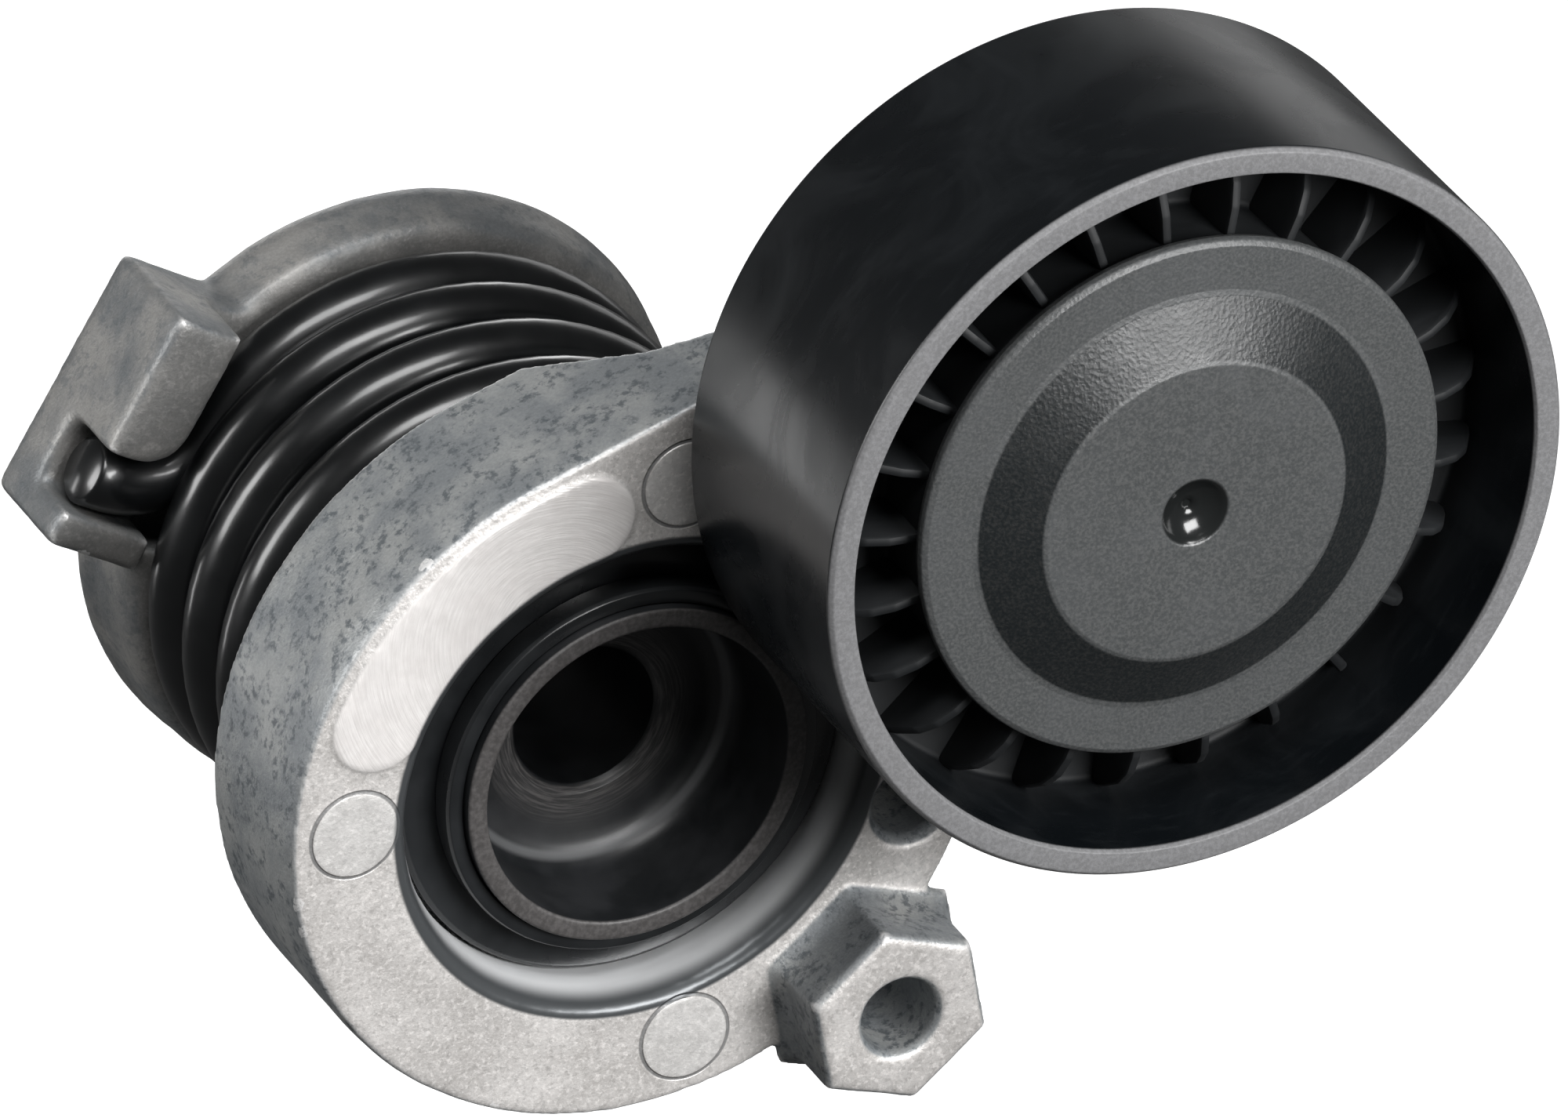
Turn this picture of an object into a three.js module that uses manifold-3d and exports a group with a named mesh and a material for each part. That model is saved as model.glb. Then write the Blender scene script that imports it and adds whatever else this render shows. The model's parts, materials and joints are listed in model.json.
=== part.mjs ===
// Belt tensioner: a spring-loaded arm on a hollow pivot shaft, carrying a smooth idler pulley.
// Units are millimetres. +Z is up, the front of the tensioner faces -Y and +X is to the right.
// The pivot axis is the Y axis, and the origin is the centre of the mounting-bolt hole in the
// plane of the rear mounting face. Every profile below is a list of [radius, y] pairs.
import * as THREE from 'three';
import { mergeVertices } from 'three/addons/utils/BufferGeometryUtils.js';
import Module from 'manifold-3d';

const wasm = await Module();
wasm.setup();

// ---------------------------------------------------------------- driving dimensions
const ROUND = 48;                  // facets round a large circle
const SMALL_ROUND = 28;            // facets round a small circle
const GAP = 0.3;                   // clearance between neighbouring pieces
const SEAT_GAP = 0.1;              // clearance of pressed and snapped seats

// arm
const ARM_FACE = -60;              // front face of the arm
const DRUM_REAR = -43.6;           // rear edge of the spring drum
const DRUM_RADIUS = 33.4;
const ARM_LENGTH = 50.4;           // pivot axis to pulley axis
const ARM_ANGLE = 40.5;            // degrees above +X with the arm on its rest stop
const BOSS_RADIUS = 13;            // round end of the arm under the pulley
const EDGE_BEVEL = 0.6;            // sloped band round the front edge, radial
const EDGE_BEVEL_DEPTH = 2.4;      // and along the axis
const BORE_RADIUS = 22.5;          // opening of the front bore
const BORE_FLOOR = -52.2;          // front of the web that carries the friction ring
const CAVITY_FLOOR = -48.8;        // floor of the spring cavity
const CAVITY_INNER = 19.9;         // outside of the arm's pivot tube
const CAVITY_OUTER = 27.7;
const TUBE_REAR = -19.5;           // rear end of the pivot tube
const TUBE_INNER = 17.65;
const HEX_FRONT = -67.5;
const HEX_REAR = -50.5;
const HEX_FLATS = 15.6;            // width across the flats of the wrench hexagon
const HEX_DISTANCE = 33.6;         // pivot axis to the hexagon's axis
const HEX_DIRECTION = -50.5;
const HEX_HOLE_RADIUS = 3.65;
const LOCK_HOLE = [26, -9.4];      // hole for the pin that locks the arm back
const LOCK_HOLE_RADIUS = 3.4;

// pivot shaft
const SHAFT_FRONT = -59.3;
const SHAFT_RADIUS = 16.25;
const SHAFT_TAIL_RADIUS = 14;      // part pressed into the base
const CUP_RADIUS = 14.4;
const CUP_FLOOR = -48.7;
const BOLT_HOLE_RADIUS = 6.7;
const DISC_FRONT = -55.6;          // disc that holds the arm on the shaft
const DISC_REAR = -54.2;

// base
const BASE_RADIUS = 28.2;
const RIM_REAR = -0.8;               // rear edge of the outer wall
const PAD_RADIUS = 24.3;           // raised mounting pad, whose face is y = 0
const BOSS_FRONT = -14;            // front of the base's centre boss
const BASE_BOSS_RADIUS = 19.6;
const WALL_OFFSET = 0.5;           // the outer wall is cast this far off the pivot axis, along X
const FLOOR_FRONT = -8;            // front of the plate behind the spring seat
const SEAT_INNER = 20.6;
const SEAT_REAR = -3.6;
const SEAT_SWEEP = 333;            // degrees of coil that the spring seat follows
const PIN_RADIUS = 2;              // locating pin in the rear face
const PIN_Z = 22.4;                // and how far it lies below the pivot axis
const POCKET_COUNT = 6;            // lightening pockets in the mounting pad
const POCKET_HALF = 22;            // half their length, degrees
const POCKET_DEPTH = 4;

// hook block of the base, in its own axes: s outward from the pivot axis, t along the block
const BLOCK_ANGLE = 148.2;         // direction of s, degrees from +X
const BLOCK_FRONT = -16;
const BLOCK_REAR = -2.4;
const BLOCK_INNER = 28;
const BLOCK_OUTER = 35;
const BLOCK_ROOT = 21;
const BLOCK_TOP = 12.4;
const BLOCK_BOTTOM = -11.8;
const NOSE_T = -1.6;               // lower side of the part above the slot
const NOSE_ROUND = 3.7;
const SLOT_BOTTOM = -8.3;
const LUG_FRONT = -14.4;           // front of the block below the slot
const LUG_ROOT = 25;

// spring
const WIRE_RADIUS = 3.1;
const COIL_RADIUS = 23.85;         // centre line
const COIL_PITCH = 7.2;
const LEG_Y = -11.8;               // centre line of the rear leg
const COIL_TURNS = 4.95;
const COIL_FLAT = 0.3;             // turns over which the pitch closes up at the rear end
const SEAT_CLEARANCE = 0.5;
const BEND_RADIUS = 7.5;           // centre line of the bend into the hook
const LEG_T = -4.9;                // where the leg lies along the hook block
const LEG_END = 33.8;              // distance of the leg's end from the pivot axis

// pulley
const PULLEY_RADIUS = 35;
const PULLEY_FRONT = -90.2;
const PULLEY_REAR = -62.5;
const RIM_INNER = 32.45;
const HUB_RADIUS = 24;
const RIB_COUNT = 25;
const RIB_THICKNESS = 1.3;
const RIB_FIRST = 4.7;             // angle of the first rib
const BEARING_FRONT = -82.4;
const BEARING_REAR = -70.4;
const BEARING_OUTER = 20;
const BEARING_BORE = 8.5;
const BALL_RADIUS = 3.2;
const BALL_CIRCLE = 14.35;
const BALL_COUNT = 8;
const CAP_RADIUS = 24.8;
const CAP_RING = -87.1;            // flat ring of the dust cap
const CAP_PLATEAU = -89.6;         // raised centre of the dust cap

const BEARING_INNER_LAND = 12.3;
const BEARING_OUTER_LAND = 16.4;
const GROOVE_GAP = 0.2;
const BOLT_SHANK = 4;
const STUB_RADIUS = BEARING_BORE - SEAT_GAP;
const STUB_FRONT = BEARING_FRONT + 0.5;
const SPIGOT_FRONT = BEARING_REAR + 1.4;

// marks on the arm's face
const PAD_MIDDLE = 27.7;           // radius of the machined pad's middle line
const PAD_HALF_WIDTH = 4.4;
const PAD_FROM = 100.5;            // angles of the centres of its round ends
const PAD_TO = 154.5;
const PAD_RISE = 0.25;
const MARK_RISE = 0.15;
const EJECTOR_RADIUS = 4.2;
const EJECTOR_MARKS = [[-27.4, 1.6], [3.9, -27.3], [4.4, 28.6]];

// stops between the arm's tube and the base's boss, degrees
const TRAVEL = 50;
const STOP_HALF_WIDTH = 20;
const STOP_CLEARANCE = 1;

const radians = THREE.MathUtils.degToRad;
const PULLEY_X = ARM_LENGTH * Math.cos(radians(ARM_ANGLE));
const PULLEY_Z = ARM_LENGTH * Math.sin(radians(ARM_ANGLE));
const BEARING_Y = (BEARING_FRONT + BEARING_REAR) / 2;

// ---------------------------------------------------------------- solid helpers
// Closed solid for booleans, from a closed geometry.
function solid(geometry) {
  const bare = geometry.index ? geometry.clone() : geometry;
  bare.deleteAttribute('normal');
  bare.deleteAttribute('uv');
  const merged = mergeVertices(bare, 1e-4);
  const kept = [];
  const index = merged.index.array;
  for (let i = 0; i < index.length; i += 3) {
    const [a, b, c] = [index[i], index[i + 1], index[i + 2]];
    if (a !== b && b !== c && c !== a) kept.push(a, b, c);
  }
  return new wasm.Manifold(new wasm.Mesh({
    numProp: 3,
    vertProperties: new Float32Array(merged.attributes.position.array),
    triVerts: new Uint32Array(kept),
  }));
}

// Back from a boolean result to a geometry.
function geometryOf(manifold) {
  const mesh = manifold.getMesh();
  const geometry = new THREE.BufferGeometry();
  geometry.setAttribute('position', new THREE.BufferAttribute(mesh.vertProperties, 3));
  geometry.setIndex(new THREE.BufferAttribute(mesh.triVerts, 1));
  geometry.computeVertexNormals();
  return geometry;
}

function union(first, ...others) {
  return others.reduce((sum, other) => sum.add(other), first);
}

function cut(first, ...others) {
  return others.reduce((rest, other) => rest.subtract(other), first);
}

// Turned shape about the Y axis. A profile that leaves the axis is closed on itself.
function turned(profile, facets = ROUND) {
  const points = profile.map(([radius, y]) => new THREE.Vector2(radius, y));
  const onAxis = profile[0][0] === 0 && profile[profile.length - 1][0] === 0;
  if (!onAxis) points.push(points[0].clone());
  if (THREE.ShapeUtils.area(points) < 0) points.reverse();
  return new THREE.LatheGeometry(points, facets);
}

// Straight-sided shape in the XZ plane, from yFront back to yRear.
function prism(shape, yFront, yRear, options = {}) {
  const depth = yRear - yFront;
  const geometry = new THREE.ExtrudeGeometry(shape, {
    depth, bevelEnabled: false, curveSegments: SMALL_ROUND / 4, ...options,
  });
  geometry.rotateX(Math.PI / 2);
  geometry.translate(0, yRear, 0);
  return geometry;
}

// Skin over a row of rings of points, each ring the same length, closed at both ends.
function loft(rings) {
  const sides = rings[0].length;
  const points = rings.flat();
  const index = [];
  for (let row = 0; row < rings.length - 1; row += 1) {
    for (let side = 0; side < sides; side += 1) {
      const a = row * sides + side;
      const b = row * sides + (side + 1) % sides;
      index.push(a, b, b + sides, a, b + sides, a + sides);
    }
  }
  const last = (rings.length - 1) * sides;
  for (let side = 1; side < sides - 1; side += 1) {
    index.push(0, side + 1, side);
    index.push(last, last + side, last + side + 1);
  }
  if (enclosedVolume(points, index) < 0) index.reverse();
  const geometry = new THREE.BufferGeometry().setFromPoints(points);
  geometry.setIndex(index);
  geometry.computeVertexNormals();
  return geometry;
}

// Positive where the triangles face outward.
function enclosedVolume(points, index) {
  let volume = 0;
  for (let i = 0; i < index.length; i += 3) {
    const [a, b, c] = [points[index[i]], points[index[i + 1]], points[index[i + 2]]];
    volume += a.dot(b.clone().cross(c)) / 6;
  }
  return volume;
}

function polar(radius, degrees, y) {
  const angle = radians(degrees);
  return new THREE.Vector3(radius * Math.cos(angle), y, radius * Math.sin(angle));
}

// Part of a ring between two angles, whose profile may change along the way.
function ringSector(profileAt, from, to, steps) {
  const rings = [];
  for (let step = 0; step <= steps; step += 1) {
    const degrees = from + (to - from) * step / steps;
    rings.push(profileAt(degrees).map(([radius, y]) => polar(radius, degrees, y)));
  }
  return loft(rings);
}

function circle(x, z, radius) {
  const shape = new THREE.Shape();
  shape.absarc(x, z, radius, 0, 2 * Math.PI, false);
  return shape;
}

function polygon(corners) {
  return new THREE.Shape(corners.map(([x, z]) => new THREE.Vector2(x, z)));
}

function regular(x, z, radius, sides, firstAngle) {
  const corners = [];
  for (let side = 0; side < sides; side += 1) {
    const angle = radians(firstAngle + side * 360 / sides);
    corners.push([x + radius * Math.cos(angle), z + radius * Math.sin(angle)]);
  }
  return corners;
}

// ---------------------------------------------------------------- materials
function material(color, roughness, metalness) {
  return new THREE.MeshStandardMaterial({ color, roughness, metalness });
}

const castAluminium = material(0xa3a5a4, 0.55, 0.9);
const darkSteel = material(0x2b2c2e, 0.4, 0.8);
const springBlack = material(0x0c0d0f, 0.25, 0.3);
const bearingSteel = material(0xb9bcc0, 0.2, 1);
const zincSteel = material(0xa9a89f, 0.4, 1);
const pulleyPlastic = material(0x0b0c0d, 0.4, 0);
const capPlastic = material(0x3b3d3e, 0.6, 0);
const bushPlastic = material(0x1a1b1c, 0.6, 0);
const cagePlastic = material(0x6b4a2a, 0.6, 0);
const sealRubber = material(0x141414, 0.8, 0);

const tensioner = new THREE.Group();

function addPiece(name, geometry, look, place = [0, 0, 0]) {
  const mesh = new THREE.Mesh(geometry, look);
  mesh.name = name;
  mesh.position.set(...place);
  tensioner.add(mesh);
  return mesh;
}

// ---------------------------------------------------------------- torsion spring
// The coil is left-handed seen as it recedes: going rearward it turns counter-clockwise in the
// front view. Its rear leg leaves along the hook block and bends outward into the block's slot.
const bendLift = (BEND_RADIUS + LEG_T) / (COIL_RADIUS + BEND_RADIUS);
const bendStart = THREE.MathUtils.radToDeg(Math.asin(bendLift));
const coilEnd = BLOCK_ANGLE - bendStart;

// Centre line height of the coil at a number of turns before its rear end.
function coilY(turnsBefore) {
  const closed = COIL_FLAT * (1 - Math.exp(-turnsBefore / COIL_FLAT));
  return LEG_Y - COIL_PITCH * (turnsBefore - closed);
}

// Point of the hook block's own axes: s outward from the pivot axis, t along the block.
function blockPoint(s, t, y) {
  const outward = polar(1, BLOCK_ANGLE, 0);
  const along = polar(1, BLOCK_ANGLE - 90, 0);
  return outward.multiplyScalar(s).addScaledVector(along, t).setY(y);
}

function springCentreLine() {
  const stepsPerTurn = 18;
  const count = Math.round(COIL_TURNS * stepsPerTurn);
  const points = [];
  for (let step = 0; step <= count; step += 1) {
    const turnsBefore = COIL_TURNS * (1 - step / count);
    points.push(polar(COIL_RADIUS, coilEnd - 360 * turnsBefore, coilY(turnsBefore)));
  }
  const startS = COIL_RADIUS * Math.cos(radians(bendStart));
  const centreS = startS + BEND_RADIUS * Math.cos(radians(bendStart));
  const centreT = LEG_T + BEND_RADIUS;
  const bendSteps = 6;
  for (let step = 1; step <= bendSteps; step += 1) {
    const heading = radians(bendStart + (90 - bendStart) * step / bendSteps);
    const s = centreS - BEND_RADIUS * Math.cos(heading);
    const t = centreT - BEND_RADIUS * Math.sin(heading);
    points.push(blockPoint(s, t, LEG_Y));
  }
  points.push(blockPoint(LEG_END, LEG_T, LEG_Y));
  return points;
}

function springWire() {
  const sides = 8;
  const path = springCentreLine();
  const yAxis = new THREE.Vector3(0, 1, 0);
  const rings = path.map((point, place) => {
    const before = path[Math.max(place - 1, 0)];
    const after = path[Math.min(place + 1, path.length - 1)];
    const forward = after.clone().sub(before).normalize();
    const sideways = new THREE.Vector3().crossVectors(yAxis, forward).normalize();
    const upright = new THREE.Vector3().crossVectors(forward, sideways);
    const ring = [];
    for (let side = 0; side < sides; side += 1) {
      const angle = 2 * Math.PI * side / sides;
      ring.push(point.clone()
        .addScaledVector(sideways, WIRE_RADIUS * Math.cos(angle))
        .addScaledVector(upright, WIRE_RADIUS * Math.sin(angle)));
    }
    return ring;
  });
  return loft(rings);
}

addPiece('torsion_spring', springWire(), springBlack);

// ---------------------------------------------------------------- base housing
function seatY(degrees) {
  const turnsBefore = (coilEnd - degrees) / 360;
  return coilY(turnsBefore) + WIRE_RADIUS + SEAT_CLEARANCE;
}

// Spring seat: a ramp that follows the last turn of the coil, with a rounded outer edge.
function seatProfile(degrees) {
  const y = seatY(degrees);
  return [
    [SEAT_INNER, SEAT_REAR], [BASE_RADIUS, SEAT_REAR], [BASE_RADIUS - 0.1, y + 1.6],
    [BASE_RADIUS - 0.5, y + 0.6], [BASE_RADIUS - 1.4, y], [SEAT_INNER, y],
  ];
}

// Outline in the block's own s and t, turned into the XZ plane.
function blockShape(outline) {
  return polygon(outline.map(([s, t]) => {
    const point = blockPoint(s, t, 0);
    return [point.x, point.z];
  }));
}

function cornerArc(s, t, radius, from, to, steps) {
  const arc = [];
  for (let step = 0; step <= steps; step += 1) {
    const angle = radians(from + (to - from) * step / steps);
    arc.push([s + radius * Math.cos(angle), t + radius * Math.sin(angle)]);
  }
  return arc;
}

const edgeRounding = {
  bevelEnabled: true, bevelSize: 0.8, bevelOffset: -0.8, bevelThickness: 0.8, bevelSegments: 1,
};

function hookBlock() {
  const upper = blockShape([
    [BLOCK_INNER, BLOCK_TOP], [BLOCK_OUTER, BLOCK_TOP], [BLOCK_OUTER, NOSE_T],
    ...cornerArc(BLOCK_INNER + NOSE_ROUND, NOSE_T + NOSE_ROUND, NOSE_ROUND, 270, 180, 6),
  ]);
  const whole = blockShape([
    [BLOCK_ROOT, BLOCK_TOP], [BLOCK_OUTER, BLOCK_TOP],
    [BLOCK_OUTER, BLOCK_BOTTOM], [BLOCK_ROOT, BLOCK_BOTTOM],
  ]);
  const lower = blockShape([
    [LUG_ROOT, SLOT_BOTTOM], [BLOCK_OUTER, SLOT_BOTTOM],
    [BLOCK_OUTER, BLOCK_BOTTOM], [LUG_ROOT, BLOCK_BOTTOM],
  ]);
  const bevel = edgeRounding.bevelThickness;
  const slotRear = LEG_Y + WIRE_RADIUS + GAP;
  const upperPart = prism(upper, BLOCK_FRONT + bevel, BLOCK_REAR - bevel, edgeRounding);
  const wholePart = prism(whole, slotRear + bevel, BLOCK_REAR - bevel, edgeRounding);
  const lowerPart = prism(lower, LUG_FRONT + bevel, BLOCK_REAR - bevel, edgeRounding);
  return union(solid(upperPart), solid(wholePart), solid(lowerPart));
}

// Collar segment that stops the arm's lug at both ends of its travel.
function stopCollar() {
  const restStop = ARM_ANGLE + 180 + STOP_HALF_WIDTH + STOP_CLEARANCE;
  const fullStop = restStop - TRAVEL - 2 * (STOP_HALF_WIDTH + STOP_CLEARANCE) + 360;
  const front = TUBE_REAR + GAP;
  const outer = BASE_BOSS_RADIUS - 0.4;
  const inner = SHAFT_RADIUS + 0.6;
  return ringSector(() => [
    [inner, BOSS_FRONT + 1], [outer, BOSS_FRONT + 1], [outer, front], [inner, front],
  ], restStop, fullStop, 24);
}

function padPockets() {
  const pockets = [];
  for (let pocket = 0; pocket < POCKET_COUNT; pocket += 1) {
    const middle = pocket * 360 / POCKET_COUNT;
    pockets.push(solid(ringSector(() => [
      [16.8, 1], [20.8, 1], [20.6, -POCKET_DEPTH], [17, -POCKET_DEPTH],
    ], middle - POCKET_HALF, middle + POCKET_HALF, 6)));
  }
  return pockets;
}

function baseHousing() {
  const boreRadius = SHAFT_TAIL_RADIUS + SEAT_GAP;
  const boss = turned([
    [boreRadius, 0], [boreRadius, BOSS_FRONT], [BASE_BOSS_RADIUS, BOSS_FRONT],
    [BASE_BOSS_RADIUS, FLOOR_FRONT + 1], [PAD_RADIUS - 0.2, FLOOR_FRONT + 1], [PAD_RADIUS - 0.4, 0],
  ]);
  const wall = turned([
    [boreRadius + 1, FLOOR_FRONT], [BASE_RADIUS - 0.6, FLOOR_FRONT], [BASE_RADIUS - 0.6, -4.7],
    [BASE_RADIUS + 0.1, -4.7], [BASE_RADIUS + 0.3, -2.9], [BASE_RADIUS - 0.2, -1.5],
    [BASE_RADIUS - 0.9, RIM_REAR], [boreRadius + 1, RIM_REAR],
  ]);
  const seat = ringSector(seatProfile, coilEnd - SEAT_SWEEP, coilEnd - 2, 42);
  wall.translate(WALL_OFFSET, 0, 0);
  seat.translate(WALL_OFFSET, 0, 0);
  const pinHole = solid(prism(circle(0, -PIN_Z, PIN_RADIUS + SEAT_GAP), -6, 1));
  const wayRadius = boreRadius - 0.05;
  const shaftWay = solid(turned([[0, -30], [wayRadius, -30], [wayRadius, 1], [0, 1]]));
  const body = union(solid(boss), solid(wall), solid(seat), hookBlock(), solid(stopCollar()));
  return geometryOf(cut(body, shaftWay, ...padPockets(), pinHole));
}

addPiece('base_housing', baseHousing(), castAluminium);

addPiece('locating_pin', turned([
  [0, -5.6], [PIN_RADIUS - 0.4, -5.6], [PIN_RADIUS, -5.2], [PIN_RADIUS, 3.4],
  [PIN_RADIUS - 0.5, 4], [0, 4],
], 24), zincSteel, [0, 0, -PIN_Z]);

// ---------------------------------------------------------------- pivot shaft and front stack
addPiece('pivot_shaft', turned([
  [SHAFT_TAIL_RADIUS, -0.3], [SHAFT_TAIL_RADIUS, BOSS_FRONT - 0.3],
  [SHAFT_RADIUS, BOSS_FRONT - 0.3], [SHAFT_RADIUS, SHAFT_FRONT + 0.3],
  [SHAFT_RADIUS - 0.3, SHAFT_FRONT], [CUP_RADIUS + 0.3, SHAFT_FRONT],
  [CUP_RADIUS, SHAFT_FRONT + 0.4], [CUP_RADIUS - 0.5, -51.4], [CUP_RADIUS - 1, -49.8],
  [CUP_RADIUS - 2.2, CUP_FLOOR - 0.2], [CUP_RADIUS - 3.4, CUP_FLOOR],
  [BOLT_HOLE_RADIUS + 0.7, CUP_FLOOR], [BOLT_HOLE_RADIUS, CUP_FLOOR + 0.7],
  [BOLT_HOLE_RADIUS, -0.8], [BOLT_HOLE_RADIUS + 0.5, -0.3],
]), darkSteel);

addPiece('retaining_ring', turned([
  [SHAFT_RADIUS + SEAT_GAP, DISC_FRONT - SEAT_GAP], [SHAFT_RADIUS + SEAT_GAP, -58.3],
  [17.4, -58.3], [17.8, -57.9], [17.8, DISC_FRONT - SEAT_GAP],
]), darkSteel);

addPiece('front_thrust_disc', turned([
  [SHAFT_RADIUS + SEAT_GAP, DISC_REAR], [SHAFT_RADIUS + SEAT_GAP, DISC_FRONT],
  [20.8, DISC_FRONT], [21.15, DISC_FRONT + 0.35], [21.15, DISC_REAR],
]), darkSteel);

addPiece('front_friction_ring', turned([
  [TUBE_INNER + 0.3, BORE_FLOOR - SEAT_GAP], [TUBE_INNER + 0.3, DISC_REAR + SEAT_GAP],
  [21, DISC_REAR + SEAT_GAP], [21, BORE_FLOOR - SEAT_GAP],
]), bushPlastic);

addPiece('pivot_bush', turned([
  [SHAFT_RADIUS + SEAT_GAP, TUBE_REAR - 0.2], [SHAFT_RADIUS + SEAT_GAP, DISC_REAR + 0.5],
  [TUBE_INNER - SEAT_GAP, DISC_REAR + 0.5], [TUBE_INNER - SEAT_GAP, TUBE_REAR - 0.2],
]), bushPlastic);

// ---------------------------------------------------------------- tensioner arm
// Drum and pulley boss joined by their two outer tangents.
function armOutline() {
  const lean = THREE.MathUtils.radToDeg(Math.asin((DRUM_RADIUS - BOSS_RADIUS) / ARM_LENGTH));
  const upper = radians(ARM_ANGLE + 90 - lean);
  const lower = radians(ARM_ANGLE - 90 + lean);
  const shape = new THREE.Shape();
  shape.absarc(0, 0, DRUM_RADIUS, upper, lower + 2 * Math.PI, false);
  shape.absarc(PULLEY_X, PULLEY_Z, BOSS_RADIUS, lower, upper, false);
  return shape;
}

// Side view of the arm along its length: full depth at the drum, thinner towards the pulley.
function armDepth() {
  const side = [
    [-45, ARM_FACE - 1], [75, ARM_FACE - 1], [75, -52.6], [33, -52], [27.6, -50], [19, DRUM_REAR],
    [-45, DRUM_REAR],
  ];
  const shape = polygon(side);
  const geometry = new THREE.ExtrudeGeometry(shape, { depth: 100, bevelEnabled: false });
  geometry.translate(0, 0, -50);
  geometry.rotateY(-radians(ARM_ANGLE));
  return geometry;
}

function hexagon(flats, y) {
  const x = HEX_DISTANCE * Math.cos(radians(HEX_DIRECTION));
  const z = HEX_DISTANCE * Math.sin(radians(HEX_DIRECTION));
  const corners = regular(x, z, flats / Math.sqrt(3), 6, HEX_DIRECTION + 30);
  return corners.map(([cornerX, cornerZ]) => new THREE.Vector3(cornerX, y, cornerZ));
}

function hexBoss() {
  return loft([
    hexagon(HEX_FLATS - 1, HEX_FRONT), hexagon(HEX_FLATS, HEX_FRONT + 0.5),
    hexagon(HEX_FLATS, ARM_FACE - 1.8), hexagon(HEX_FLATS + 0.9, ARM_FACE - 0.7),
    hexagon(HEX_FLATS + 3, ARM_FACE + 0.3), hexagon(HEX_FLATS + 1, ARM_FACE + 1.5),
    hexagon(HEX_FLATS - 1.5, HEX_REAR),
  ]);
}

// Low pad on the arm's face, machined bright: a ring sector with round ends.
function facePad() {
  const middle = PAD_MIDDLE;
  const half = PAD_HALF_WIDTH;
  const from = radians(PAD_FROM);
  const to = radians(PAD_TO);
  const shape = new THREE.Shape();
  shape.absarc(0, 0, middle + half, from, to, false);
  shape.absarc(middle * Math.cos(to), middle * Math.sin(to), half, to, to + Math.PI, false);
  shape.absarc(0, 0, middle - half, to, from, true);
  shape.absarc(middle * Math.cos(from), middle * Math.sin(from), half,
    from + Math.PI, from + 2 * Math.PI, false);
  return shape;
}

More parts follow.
